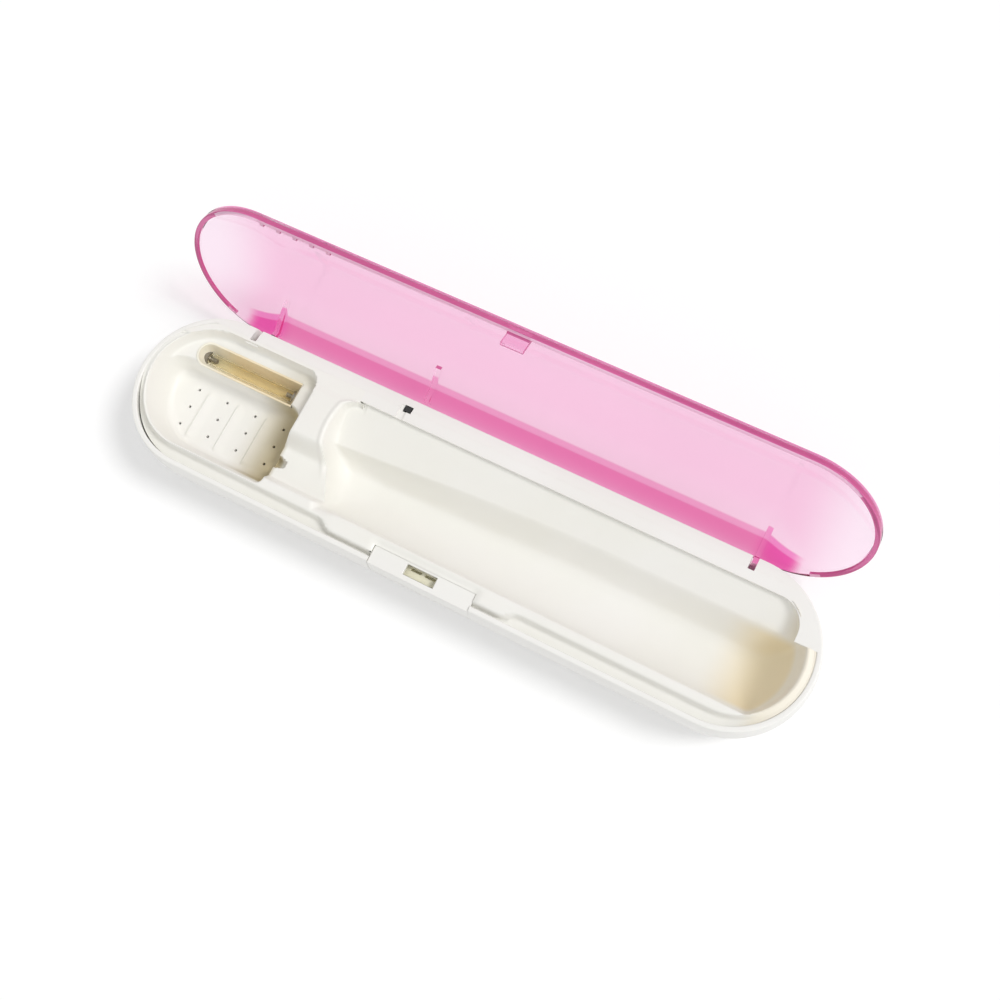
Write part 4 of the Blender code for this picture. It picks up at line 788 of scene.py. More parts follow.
SLOT_X = (-30.0 * MM, SWITCH_X)
SLOT_END = 0.8 * MM
SLOT_FLOOR = 21.4 * MM


def shoulder_tool():
    reach = HINGE_Y + SHOULDER_RADIUS + OVERRUN
    outline = arc(HINGE_Y, HINGE_Z, SHOULDER_RADIUS, pi / 2, 0, 14)
    outline += [(reach, HINGE_Z), (reach, TOP), (HINGE_Y, TOP)]
    return upright_plate(outline, -LENGTH, LENGTH)


def arm_pockets():
    """A block of plastic behind each arm's slot, so that no slot opens into the dark inside."""
    tools = []
    for side in (-1, 1):
        x = about(side * ARM_PLACE, ARM_SLOT_HALF + POCKET_WALL)
        low = (ARM_SLOT_LOW - POCKET_WALL, POCKET_TOP)
        tools.append(block(x, (ARM_SLOT_FRONT - POCKET_WALL, POCKET_BACK), low))
        high = (POCKET_TOP - OVERRUN, FLANGE_LOW + FLANGE_BITE)
        tools.append(block(x, (ARM_SLOT_HIGH - POCKET_WALL, POCKET_BACK), high))
    return tools


def arm_slots():
    """Wide enough below for the arm's round boss, and open at the top only behind the tray."""
    tools = []
    for side in (-1, 1):
        x = about(side * ARM_PLACE, ARM_SLOT_HALF)
        low = block(x, (ARM_SLOT_FRONT, ARM_SLOT_BACK), (ARM_SLOT_LOW, POCKET_TOP + 0.1 * MM))
        high = block(x, (ARM_SLOT_HIGH, ARM_SLOT_BACK), (ARM_SLOT_LOW + OVERRUN, TOP))
        tools += [low, high]
    return tools


def other_cuts():
    """The room of the button, the battery door, the switch's slot and the switch's hole."""
    hole_x, hole_y = about(SWITCH_X, HOLE_HALF_X), about(SWITCH_Y, HOLE_HALF_Y)
    return [
        block(about(0, BUTTON_HALF), (FRONT, -BUTTON_BACK), (BUTTON_LOW, TOP)),
        block(DOOR_X, DOOR_Y, (-OVERRUN, CASING_FLOOR + OVERRUN)),
        block(SLOT_X, (RAIL_EDGE - OVERRUN, SWITCH_Y + SLOT_END), (SLOT_FLOOR, TOP)),
        block(hole_x, hole_y, (FLANGE_LOW - OVERRUN, TOP)),
    ]


casing = carved(casing, "UNION", *arm_pockets())
casing = carved(casing, "DIFFERENCE", shoulder_tool(), *arm_slots(), *other_cuts())
smoothed(piece("casing", casing, WHITE, "base", ["lower_casing"]))
print("casing finished")

# %% [markdown]
# The tray is one soft moulding with a raised deck, a groove round it, the
# head bay with its ledge, the neck channel and the handle trough. All its
# walls are rounded into each other, so it is made as a sheet: a fine grid is
# laid over the capsule's plan, and each point drops to the depth of the
# opening that it lies in. The underside is the same sheet, one wall lower.

# %% Depth of a moulded wall
DECK = 22.5 * MM
TRAY_WALL = 1.0 * MM
TRAY_CENTRE = 87.3 * MM
LIP_EDGE = 19.3 * MM
BULGE_EDGE = 21.7 * MM
TRAY_REACH = 22.85 * MM
GROOVE_DEPTH = 3.0 * MM


def eased(share):
    """A smooth step from zero to one."""
    share = min(max(share, 0.0), 1.0)
    return share * share * (3 - 2 * share)


def between(first, second, share):
    """The first value at share zero, the second at one, and evenly between."""
    return first * (1 - share) + second * share


def soft_least(a, b, blend):
    """The lesser of two values, with a rounded change from one to the other."""
    share = max(blend - abs(a - b), 0.0) / blend
    return min(a, b) - share * share * blend / 4


def wall_drop(inside, depth, run, low_round, edge_round):
    """How far a wall has dropped at a distance inside its edge: lip, draft, fillet and floor."""
    if inside <= -edge_round:
        return 0.0
    if inside < 0:
        return edge_round - sqrt(edge_round**2 - (inside + edge_round) ** 2)
    if inside < run:
        return edge_round + (depth - low_round - edge_round) * inside / run
    past = inside - run
    if past < low_round:
        return depth - low_round + sqrt(low_round**2 - (low_round - past) ** 2)
    return depth


print("a wall 4 mm deep, at its edge:", round(wall_drop(0, 4, 0.5, 0.8, 0.7), 2))

# %% Groove round the deck
BULGE_START = -36 * MM
BULGE_END = 30 * MM
BULGE_RAMP = 5 * MM
GROOVE_RUN = 0.3 * MM
GROOVE_FILLET = 1.0 * MM
GROOVE_LIP = 0.7 * MM
FLUSH_DEPTH = 0.5 * MM
FLUSH_RUN = 1.0 * MM
FLUSH_LIP = 0.1 * MM
HEAD_TURN = 220
HEAD_SPREAD = 45
TAIL_TURN = 75
TAIL_SPREAD = 40


def lip_reach(x, y):
    """The deck's edge, which swells forward beside the latch."""
    if y > 0:
        return LIP_EDGE
    rise = eased((x - BULGE_START) / BULGE_RAMP) * eased((BULGE_END - x) / BULGE_RAMP)
    return between(LIP_EDGE, BULGE_EDGE, rise)


def flush_share(x, y):
    """Zero where the groove is open along the front, one where the deck lies flush with the rim."""
    if x < -TRAY_CENTRE:
        turn = degrees(atan2(y, x + TRAY_CENTRE)) % 360
        return eased((HEAD_TURN - turn) / HEAD_SPREAD)
    if x > TRAY_CENTRE:
        turn = degrees(atan2(y, x - TRAY_CENTRE))
        return eased((turn + TAIL_TURN) / TAIL_SPREAD)
    return 1.0 if y > 0 else 0.0


def groove_drop(x, y, wall):
    away = hypot(max(abs(x) - TRAY_CENTRE, 0.0), y) - lip_reach(x, y)
    flush = flush_share(x, y)
    depth = between(GROOVE_DEPTH, FLUSH_DEPTH, flush)
    run = between(GROOVE_RUN, FLUSH_RUN, flush)
    fillet = between(GROOVE_FILLET, FLUSH_LIP, flush)
    return wall_drop(away + wall, depth, run, fillet, between(GROOVE_LIP, FLUSH_LIP, flush))


print("groove at the front:", round(groove_drop(60 * MM, -21 * MM, 0) / MM, 2), "mm")

# %% Head bay
BAY_EDGE = 18.2 * MM
BAY_BACK = 19.7 * MM
BAY_END = -56.8 * MM
BAY_CORNER = 4.5 * MM
BAY_FRONT_CORNER = 1.8 * MM
BAY_DROP = 12.5 * MM
BAY_LIP = 0.8 * MM
BAY_RUN = 2.2 * MM
BAY_FILLET = 2.6 * MM
LEDGE_FRONT = 9.1 * MM
LEDGE_DROP = 4.4 * MM
LEDGE_RUN = 0.8 * MM
LEDGE_FILLET = 0.9 * MM
LEDGE_BLEND = 5 * MM
RIDGE_LEFT = -91.6 * MM
RIDGE_STEP = 10.4 * MM
RIDGE_WIDTH = 4.2 * MM
RIDGE_HEIGHT = 0.75 * MM
RIDGE_FRONT = -14.5 * MM
RIDGE_BACK = 3.5 * MM


def bay_inside(x, y):
    """Distance inside the bay's plan: a round head end and a square end with round corners."""
    reach = between(BAY_EDGE, BAY_BACK, eased((y + 10 * MM) / (20 * MM)))
    side = reach - hypot(min(x + TRAY_CENTRE, 0.0), y)
    end = BAY_END - x
    corner = BAY_CORNER if y > 0 else BAY_FRONT_CORNER
    a, b = corner - side, corner - end
    if a > 0 and b > 0:
        return corner - hypot(a, b)
    return min(side, end)


def ridge_rise(x, y):
    """Three low ridges, crisp on their left side, across the drained floor."""
    ends = eased((y - RIDGE_FRONT) / (2 * MM)) * eased((RIDGE_BACK - y) / (3 * MM))
    for i in range(3):
        past = x - RIDGE_LEFT - RIDGE_STEP * i
        if 0 < past < RIDGE_WIDTH:
            steep = eased(past / (0.5 * MM))
            return RIDGE_HEIGHT * ends * steep * (1 - eased(past / RIDGE_WIDTH))
    return 0.0


def bay_drop(x, y, wall):
    inside = bay_inside(x, y) + wall
    ledge = wall_drop(inside, LEDGE_DROP, LEDGE_RUN, LEDGE_FILLET, BAY_LIP)
    front = soft_least(inside, LEDGE_FRONT - y + wall, LEDGE_BLEND)
    floor = wall_drop(front, BAY_DROP, BAY_RUN, BAY_FILLET, BAY_LIP)
    if floor > ledge:
        floor -= ridge_rise(x, y)
    return max(ledge, floor)


print("bay floor:", round(bay_drop(-80 * MM, -5 * MM, 0) / MM, 2), "mm down")

# %% Neck channel
CHANNEL_FRONT = -16.2 * MM
CHANNEL_FRONT_SLOPE = 2.5 * MM
CHANNEL_BACK = 1.0 * MM
CHANNEL_BACK_SLOPE = 5.5 * MM
CHANNEL_END = -30 * MM
CHANNEL_DROP = 5.9 * MM
NECK_CENTRE = -9.0 * MM
NECK_DROP = 10.1 * MM
NECK_STEP = 2.6 * MM
NECK_STEP_RUN = 2.8 * MM
NECK_END = -54.0 * MM
NECK_HALF = 1.5 * MM
NECK_FLARE = 0.28
NECK_RUN = 0.9 * MM
NECK_FILLET = 1.2 * MM
NECK_LIP = 0.5 * MM


def channel_drop(x, y, wall):
    """The soft low floor between bay and trough, and the deeper notch for the brush's neck."""
    if x < BAY_END - 2 * MM or x > CHANNEL_END:
        return 0.0
    back = eased((CHANNEL_BACK - y + wall) / CHANNEL_BACK_SLOPE)
    front = eased((y - CHANNEL_FRONT + wall) / CHANNEL_FRONT_SLOPE)
    half = NECK_HALF + NECK_FLARE * (NECK_END - x)
    notch = min(half - abs(y - NECK_CENTRE), NECK_END - x) + wall
    depth = NECK_DROP - NECK_STEP * eased((x - BAY_END) / NECK_STEP_RUN)
    neck = wall_drop(notch, depth, NECK_RUN, NECK_FILLET, NECK_LIP)
    return max(CHANNEL_DROP * min(back, front), neck)


print("neck notch:", round(channel_drop(-56 * MM, NECK_CENTRE, 0) / MM, 2), "mm down")

# %% Handle trough
TROUGH_START = -46.5 * MM
TROUGH_BOW = 44 * MM
BOW_MIDDLE = 7.7 * MM
BOW_STRAIGHT = -3 * MM
BOW_SLOPE = 0.486
BOW_CORNER = 14 * MM
BOW_CORNER_WIDTH = 2.6 * MM
TROUGH_DROP = 16.9 * MM
TROUGH_FRONT = 16.2 * MM
TROUGH_LOW_Y = -1.0 * MM
TROUGH_END_RADIUS = 20.0 * MM
TROUGH_LIP = 0.9 * MM
TROUGH_LIP_MORE = 2.4 * MM
HEAD_RUN = 7 * MM
TAIL_RUN = 17 * MM
BOWL_EXTRA = 0.3 * MM
BOWL_BLEND = 2.0 * MM
HEAD_BLEND = 5.5 * MM
HEAD_BLEND_END = -28 * MM
CREASE_Y = 4.0 * MM
CREASE_DROP = 14.7 * MM
CREASE_BLEND = 1.6 * MM
SHELF_Y = 8.7 * MM
SHELF_DROP = 6.9 * MM
SHELF_BLEND = 0.8 * MM
SHELF_BACK_Y = 18.5 * MM
SHELF_BACK_DROP = 1.6 * MM
SLANT = 2.6 * MM
SLANT_START = -45 * MM
SLANT_LENGTH = 80 * MM
BEAD_HEIGHT = 0.4 * MM
BEAD_HALF = 1.3 * MM
BEAD_PLACE = 1.1 * MM
BEAD_FRONT = -9 * MM
BEAD_BACK = 16.5 * MM


def trough_section(x, y, wall):
    """The trough's depth across it: a round front wall, a floor, a steep wall and a shelf."""
    across = (y + TROUGH_FRONT + wall) / (TROUGH_LOW_Y + TROUGH_FRONT + wall)
    if across <= 0:
        return 0.0
    if across < 1:
        return TROUGH_DROP * sqrt(1 - (1 - across) ** 2)
    slant = SLANT * (1 - min(max((x - SLANT_START) / SLANT_LENGTH, 0.0), 1.0))
    crease = CREASE_Y - slant
    shelf = SHELF_Y - slant
    curve = ((y - TROUGH_LOW_Y) / (crease - TROUGH_LOW_Y)) ** 2
    low = between(TROUGH_DROP, CREASE_DROP, curve)
    if y > crease - 2 * MM:
        steep = between(CREASE_DROP, SHELF_DROP, (y - crease) / (shelf - crease))
        low = soft_least(low, steep, CREASE_BLEND)
    flat = between(SHELF_DROP, SHELF_BACK_DROP, (y - shelf) / (SHELF_BACK_Y - shelf))
    return -soft_least(-low, -flat, SHELF_BLEND)


def past_head(x, y):
    """How far a place lies past the trough's bowed head edge, towards the handle."""
    bent = max(y, BOW_STRAIGHT)
    bow = (bent - BOW_MIDDLE) ** 2 / TROUGH_BOW + BOW_SLOPE * (bent - y)
    return x - TROUGH_START - bow - max(y - BOW_CORNER, 0.0) ** 2 / BOW_CORNER_WIDTH


def bead_rise(x, y):
    """The rounded bead along the trough's head edge, fading at its front."""
    across = (past_head(x, y) + BEAD_PLACE) / BEAD_HALF
    if abs(across) >= 1 or y > BEAD_BACK:
        return 0.0
    return BEAD_HEIGHT * (1 - across * across) ** 2 * eased((y - BEAD_FRONT) / (5 * MM))


def trough_drop(x, y, wall):
    half = TROUGH_END_RADIUS + wall
    if abs(y) >= half:
        return 0.0
    head = past_head(x, y) + wall
    tail = END_CENTRE + sqrt(half * half - y * y) - x
    front_corner = eased((-2 * MM - y) / (6 * MM)) * eased((CHANNEL_END - x) / (6 * MM))
    lip = TROUGH_LIP + TROUGH_LIP_MORE * front_corner
    edge = min(y + TROUGH_FRONT + wall, head, tail)
    if edge <= -lip:
        return 0.0
    if edge < 0:
        return lip - sqrt(lip * lip - (edge + lip) ** 2)
    ends = 1.0
    for share in (head / HEAD_RUN, tail / TAIL_RUN):
        if share < 1:
            ends = min(ends, sqrt(1 - (1 - max(share, 0.0)) ** 2))
    bowl = ends * (TROUGH_DROP + BOWL_EXTRA)
    blend = between(BOWL_BLEND, HEAD_BLEND, eased((HEAD_BLEND_END - x) / (12 * MM)))
    return max(soft_least(trough_section(x, y, wall), bowl, blend), lip * 0.9)


print("trough floor:", round(trough_drop(20 * MM, -1 * MM, 0) / MM, 2), "mm down")

# %% [markdown]
# The grid's rows follow the straight sides, and its columns crowd towards the
# round ends, where each one is squeezed to the capsule's outline. So the
# tray's edge is a true half circle.

# %% Places of the tray's grid
HEAD_LINES = 150
LONG_LINES = 96
TIP_LINES = 50
ACROSS = 124
LINES_CHANGE = -35 * MM
BACK_HEAD = 20.85 * MM
BACK_TROUGH = 18.3 * MM
BACK_NARROWS = -41.5 * MM
BACK_WIDENS = 88 * MM


def stations():
    """The grid's places along the case: half circles at both ends and two spacings between."""
    turns = [pi / 2 * i / TIP_LINES for i in range(TIP_LINES + 1)]
    tip = [-END_CENTRE - TRAY_REACH * cos(turn) for turn in turns[:-1]]
    fine = (LINES_CHANGE + END_CENTRE) / HEAD_LINES
    head = [-END_CENTRE + fine * i for i in range(HEAD_LINES)]
    coarse = (END_CENTRE - LINES_CHANGE) / LONG_LINES
    long = [LINES_CHANGE + coarse * i for i in range(LONG_LINES)]
    return tip + head + long + [END_CENTRE + TRAY_REACH * sin(turn) for turn in turns]


def reach_at(x):
    past = max(abs(x) - END_CENTRE, 0.0)
    return sqrt(max(TRAY_REACH**2 - past * past, 0.0))


def back_at(x):
    limit = between(BACK_HEAD, BACK_TROUGH, eased((x - BACK_NARROWS) / (1 * MM)))
    limit += (TRAY_REACH - BACK_TROUGH) * eased((x - BACK_WIDENS) / (3 * MM))
    return min(limit, reach_at(x))


places = stations()
print("columns:", len(places) - 1, "rows:", ACROSS)

# %% Tray sheet
BUTTON_DIP = 0.75 * MM
BUTTON_DIP_END = 17.6 * MM
BUTTON_DIP_START = -16.9 * MM
RIM_PART_END = -40 * MM
RIM_PART_Y = 14 * MM


def tray_height(x, y, wall):
    """The height of the sheet; by the button the deck dips to meet its top."""
    rim_part = 0.0
    if x < RIM_PART_END:
        rim_part = flush_share(x, y) * eased((abs(y) - RIM_PART_Y) / (3 * MM))
    deck = DECK - FLUSH_DEPTH * rim_part
    drop = max(groove_drop(x, y, wall), trough_drop(x, y, wall), channel_drop(x, y, wall))
    if x < BAY_END + TRAY_WALL + wall:
        drop = max(drop, bay_drop(x, y, wall))
    if rim_part > 0 and drop <= FLUSH_DEPTH:
        drop = 0.0
    along = eased((BUTTON_DIP_END - abs(x)) / (1.2 * MM))
    dip = BUTTON_DIP * along * eased((BUTTON_DIP_START - y) / (1.8 * MM))
    return min(deck - drop, DECK - dip) - wall + bead_rise(x, y)


def tray_sheet():
    columns = len(places) - 1
    build = bmesh.new()
    bmesh.ops.create_grid(build, x_segments=columns, y_segments=ACROSS, size=1)
    for vert in build.verts:
        x = places[round((vert.co.x + 1) / 2 * columns)]
        y = vert.co.y * (back_at(x) if vert.co.y > 0 else reach_at(x))
        vert.co = (x, y, 0)
    grown = bmesh.ops.extrude_face_region(build, geom=build.faces, use_keep_orig=True)["geom"]
    top = set(verts_in(grown))
    for vert in build.verts:
        wall = 0.0 if vert in top else TRAY_WALL
        vert.co.z = tray_height(vert.co.x, vert.co.y, wall)
    bmesh.ops.remove_doubles(build, verts=build.verts, dist=2 * WELD)
    bmesh.ops.recalc_face_normals(build, faces=build.faces)
    return build


tray = tray_sheet()
print("tray sheet:", len(tray.faces), "faces")

# %% [markdown]
# Crisp openings are cut afterwards: the room of the flange and the button,
# the lamp's well, the drain holes and the top of each arm's slot.

# %% Tray cuts
LAMP_LEFT = -94.0 * MM
LAMP_RIGHT = -62.0 * MM
LAMP_Y = 11.5 * MM
LINING_HALF = 3.6 * MM
LAMP_HOLE_Z = (5 * MM, 19 * MM)
RAIL_GAP = 0.5 * MM
RAIL_GAP_DEPTH = 0.15 * MM
HOLE_LEFT = -95 * MM
HOLE_BACK = 1.65 * MM
HOLE_ROW = 6.1 * MM
HOLE_MIDDLE = 10 * MM
HOLE_RADIUS = 0.45 * MM
BUTTON_ROOM = ((FRONT, -19.15 * MM), (12 * MM, 25 * MM))
BUTTON_REACH = ((-19.4 * MM, -17.6 * MM), (12 * MM, 21.5 * MM))


def flange_room():
    low = FLANGE_LOW - RAIL_GAP_DEPTH
    back = HEAD_EDGE + 9 * MM
    outline = [(RAIL_START, HEAD_EDGE), (RAIL_START, RAIL_EDGE - RAIL_GAP)]
    outline += arc(CORNER_X, RAIL_EDGE - CORNER_RADIUS, CORNER_RADIUS + RAIL_GAP, pi / 2, 0, 12)
    outline += [(CORNER_X + CORNER_RADIUS + RAIL_GAP, RAIL_END_EDGE), (LENGTH, RAIL_END_EDGE)]
    return flat_plate(outline + [(LENGTH, back), (RAIL_START, back)], low, low + 4 * MM)


def lamp_hole():
    half = LINING_HALF + 0.15 * MM
    right = LAMP_RIGHT - 0.1 * MM
    outline = arc(LAMP_LEFT, LAMP_Y, half, pi / 2, 3 * pi / 2, 16)
    return flat_plate(outline + [(right, LAMP_Y - half), (right, LAMP_Y + half)], *LAMP_HOLE_Z)


def small_holes():
    tools = []
    for column in range(4):
        for row in range(3):
            hole = rod(HOLE_RADIUS, 6 * MM, 12)
            place = (HOLE_LEFT + RIDGE_STEP * column, HOLE_BACK - HOLE_ROW * row, HOLE_MIDDLE)
            bmesh.ops.translate(hole, verts=hole.verts, vec=place)
            tools.append(hole)
    return merged(tools)


cuts = [flange_room()]
cuts += [block(about(0, BUTTON_HALF), *room) for room in (BUTTON_ROOM, BUTTON_REACH)]
cuts += [lamp_hole(), small_holes()] + arm_slots()[1::2]
tray = carved(tray, "DIFFERENCE", *cuts)
print("tray faces:", len(tray.faces))
smoothed(piece("tray", tray, TRAY_WHITE, "base", ["inner_tray"]), 50)
print("tray finished")

# %% [markdown]
# Behind the lamp lies a warm, glossy lining that throws its light forward. It
# is half an ellipse, spun round at the left end, drawn along the tube and cut
# aslant at the right, where a white ramp closes it.

# %% Lamp lining
LEDGE_TOP = DECK - LEDGE_DROP
LINING_DEPTH = 8.0 * MM
LINING_SLOPE = 4.6 * MM
LINING_LIP = 0.5 * MM
LINING_STEPS = 12
LINING_LIGHT = (0.93, 0.81, 0.58)
LINING_DARK = (0.86, 0.74, 0.51)
# The paler and deeper tones below are painted light and painted shade.
LINING_PAINTED_LIGHT = (0.95, 0.92, 0.80)
LINING_LIT_END_RISE = (-84 * MM, -97 * MM)
LINING_PAINTED_SHADE = (0.82, 0.70, 0.47)
LINING_SHADE_RISE = (-78 * MM, LAMP_RIGHT)


# Painted light and shade: the lining is paler at its left end and darker at its right end, as light
# and shade fall in the lamp's well.
def lining_light_and_shade():
    group, end, (x, y, z) = zone_group("lining_light_and_shade", ["Painted Light", "Deep Shade"])
    group.links.new(ramp_in(group, x, *LINING_LIT_END_RISE), end.inputs["Painted Light"])
    group.links.new(ramp_in(group, x, *LINING_SHADE_RISE), end.inputs["Deep Shade"])
    return group


def lamp_lining():
    build = bmesh.new()
    turns = [pi / 2 * i / LINING_STEPS for i in range(LINING_STEPS + 1)]
    profile = [(LINING_HALF * sin(turn), LEDGE_TOP - LINING_DEPTH * cos(turn)) for turn in turns]
    profile.append((LINING_HALF + LINING_LIP, LEDGE_TOP + 0.1 * MM))
    verts = [build.verts.new((LAMP_LEFT, LAMP_Y + out, height)) for out, height in profile]
    edges = [build.edges.new(pair) for pair in zip(verts, verts[1:])]
    turned = bmesh.ops.spin(
        build, geom=verts + edges, cent=(LAMP_LEFT, LAMP_Y, 0), axis=(0, 0, 1), angle=pi, steps=20
    )
    edges += edges_in(turned["geom_last"])
    moved = verts_in(bmesh.ops.extrude_edge_only(build, edges=edges)["geom"])
    bmesh.ops.translate(build, verts=moved, vec=(LAMP_RIGHT - LAMP_LEFT, 0, 0))
    for vert in moved:
        vert.co.x -= LINING_SLOPE * max(LEDGE_TOP - vert.co.z, 0.0) / LINING_DEPTH
    bmesh.ops.remove_doubles(build, verts=build.verts, dist=WELD)
    ring = [vert for vert in build.verts if vert.co.x > LAMP_RIGHT - 2 * LINING_SLOPE]
    ramp = build.faces.new(sorted(ring, key=lambda vert: vert.co.y))
    ramp.material_index = 1
    bmesh.ops.recalc_face_normals(build, faces=build.faces)
    return build


LINING = finish("reflector_lining", LINING_LIGHT, LINING_DARK, (0.25, 0.38), 0.001 * MM)
washed(LINING, lining_light_and_shade(), [("Painted Light", LINING_PAINTED_LIGHT), ("Deep Shade", LINING_PAINTED_SHADE)])
lining = piece("lamp_lining", lamp_lining(), LINING, "base", ["lamp_reflector"])
lining.data.materials.append(TRAY_WHITE)
wall = lining.modifiers.new("wall", "SOLIDIFY")
wall.thickness = 0.3 * MM
wall.offset = 0
smoothed(lining)
print("lining faces:", len(lining.data.polygons))

# %% [markdown]
# The lid is a shallow dome of clear plastic with an upright band at its foot.
# It is swept in its closed place, gets its arms, switch rib, hook and teeth
# there, and is then turned open about the hinge.

# %% Lid shell
LID_WALL = 1.5 * MM
LID_FOOT = 22.3 * MM
LID_SIDE = 2.8 * MM
LID_RISE = 11.98 * MM
LID_LINE = 0.8 * MM
LID_SOFT = 0.35 * MM
DOME_STEPS = 26


def dome(y, wall):
    rise = LID_RISE - LID_SIDE
    radius = (RIM_RADIUS**2 + rise**2) / (2 * rise)
    return RIM + LID_RISE - radius + sqrt((radius - wall) ** 2 - y**2)


def dome_side(edge, wall):
    """(radius, height) pairs from the crown to an edge, closer together near the edge."""
    radii = [edge * (i / DOME_STEPS) ** 0.8 for i in range(DOME_STEPS + 1)]
    return [(radius, dome(radius, wall)) for radius in radii]


def lid_profile():
    """From the crown outside, down to the foot and back up to the crown inside."""
    edge = RIM_RADIUS - LID_WALL
    turn = LID_FOOT + LID_SOFT
    foot = [(RIM_RADIUS, LID_FOOT + 2 * LID_LINE), (RIM_RADIUS, LID_FOOT + LID_LINE)]
    foot += arc(RIM_RADIUS - LID_SOFT, turn, LID_SOFT, 0, -pi / 2, 4)
    foot += arc(edge + LID_SOFT, turn, LID_SOFT, -pi / 2, -pi, 4)
    foot.append((edge, LID_FOOT + LID_LINE))
    return dome_side(RIM_RADIUS, 0) + foot + dome_side(edge, LID_WALL)[::-1]


lid = swept_round(lid_profile())
print("lid faces:", len(lid.faces))

# %% Lid arms, rib, hook and teeth
WALL_MIDDLE = LID_WALL / 2
WALL_LINE = RIM_RADIUS - WALL_MIDDLE
ARM_HALF = 0.8 * MM
ARM_TIP = 13.4 * MM
BOSS_RADIUS = 2.7 * MM
PIN_RADIUS = 1.3 * MM
RIB_HALF = 0.9 * MM
RIB_TIP = 12.6 * MM
HOOK_X = (-3.6 * MM, 3.4 * MM)
HOOK_BACK = -21.0 * MM
HOOK_FRONT = -22.2 * MM
HOOK_TIP = RIM - 3.4 * MM
HOOK_TOP = RIM + 2.4 * MM
TOOTH_LEFT = -84 * MM
TOOTH_STEP = 5.6 * MM
TOOTH_WIDTH = 1.3 * MM
TOOTH_Y = (-23.8 * MM, -22.3 * MM)
TOOTH_Z = (LID_FOOT + 0.1 * MM, LID_FOOT + 1.2 * MM)


def inside_wall(tip):
    """(y, height) pairs along the middle of the lid's wall, from its foot up to a tip."""
    ys = [between(WALL_LINE, tip, i / 8) for i in range(9)]
    return [(WALL_LINE, LID_FOOT + WALL_MIDDLE)] + [(y, dome(y, WALL_MIDDLE)) for y in ys]


def lid_arm(side):
    outline = inside_wall(ARM_TIP) + [(ARM_TIP, RIM + 7.2 * MM), (16.2 * MM, RIM + 3.9 * MM)]
    outline.append((HINGE_Y - 0.3 * MM, LID_FOOT))
    outline += arc(HINGE_Y, HINGE_Z, BOSS_RADIUS, radians(96.4), 2 * pi, 20)
    return upright_plate(outline, *about(side * ARM_PLACE, ARM_HALF))


def switch_rib():
    outline = [(22.0 * MM, LID_FOOT)] + inside_wall(RIB_TIP)
    outline += [(RIB_TIP, RIM + 7.0 * MM), (18.6 * MM, RIM + 3.9 * MM), (20.2 * MM, LID_FOOT)]
    return upright_plate(outline, *about(SWITCH_X, RIB_HALF))


def front_hook():
    outline = [
        (-WALL_LINE, LID_FOOT + WALL_MIDDLE),
        (HOOK_FRONT, LID_FOOT),
        (HOOK_FRONT, HOOK_TIP),
        (HOOK_BACK, HOOK_TIP),
        (HOOK_BACK + 0.3 * MM, HOOK_TIP + 1.0 * MM),
        (HOOK_BACK, HOOK_TIP + 1.3 * MM),
        (HOOK_BACK, HOOK_TOP),
        (-WALL_LINE, HOOK_TOP),
    ]
    return upright_plate(outline, *HOOK_X)


def teeth():
    lefts = [TOOTH_LEFT + TOOTH_STEP * i for i in range(5)]
    return merged([block((left, left + TOOTH_WIDTH), TOOTH_Y, TOOTH_Z) for left in lefts])


def pin_bores():
    bores = []
    for side in (-1, 1):
        bore = rod(PIN_RADIUS, 6 * MM, 20)
        bmesh.ops.rotate(bore, verts=bore.verts, matrix=Matrix.Rotation(pi / 2, 3, "Y"))
        bmesh.ops.translate(bore, verts=bore.verts, vec=(side * ARM_PLACE, HINGE_Y, HINGE_Z))
        bores.append(bore)
    return merged(bores)


lid = carved(lid, "UNION", lid_arm(-1), lid_arm(1), switch_rib(), front_hook(), teeth())
lid = carved(lid, "DIFFERENCE", pin_bores())
print("lid faces with its arms:", len(lid.faces))

# %% [markdown]
# The lid's foot has a fine line of deeper pink along both its edges. It is painted light that
# stands for light running inside the wall and coming out there. Between the lines is a pale face.
# The switch rib's end is deep pink too, painted the same way. Those faces take finishes of these
# colours that let only a little light through.

# %% Lid finish
# The deep line's two tones are painted light; the foot's two tones are its own pale pink.
LINE_LIGHT = (0.72, 0.13, 0.35)
LINE_DARK = (0.62, 0.09, 0.29)
FOOT_LIGHT = (0.97, 0.60, 0.80)
FOOT_DARK = (0.94, 0.52, 0.74)
FOOT_REACH = 22 * MM
FOOT_TOP = LID_FOOT + 1.3 * MM
DOWNWARD = -0.97
TIP_START = 14 * MM
HINGE_SIDE_Y = 12 * MM
HINGE_SIDE_END = 12 * MM
RIB_END_TOP = RIM + 9.4 * MM


def foot_colour(face):
    """The material of a face of the lid: 0 clear, 1 the deep line of painted light, 2 the pale
    foot.
    """
    middle = face.calc_center_median()
    past_end = max(abs(middle.x) - END_CENTRE, 0)
    foot = RIM - OVERRUN < middle.z < FOOT_TOP and hypot(past_end, middle.y) > FOOT_REACH
    by_hinge = middle.y > HINGE_SIDE_Y and past_end < HINGE_SIDE_END
    if foot and not by_hinge:
        return 1 if face.normal.z > DOWNWARD or past_end > TIP_START else 2
    on_rib = abs(middle.x - SWITCH_X) < 1.2 * MM and abs(middle.y - RIB_TIP) < 0.3 * MM
    return 1 if on_rib and middle.z < RIB_END_TOP else 0


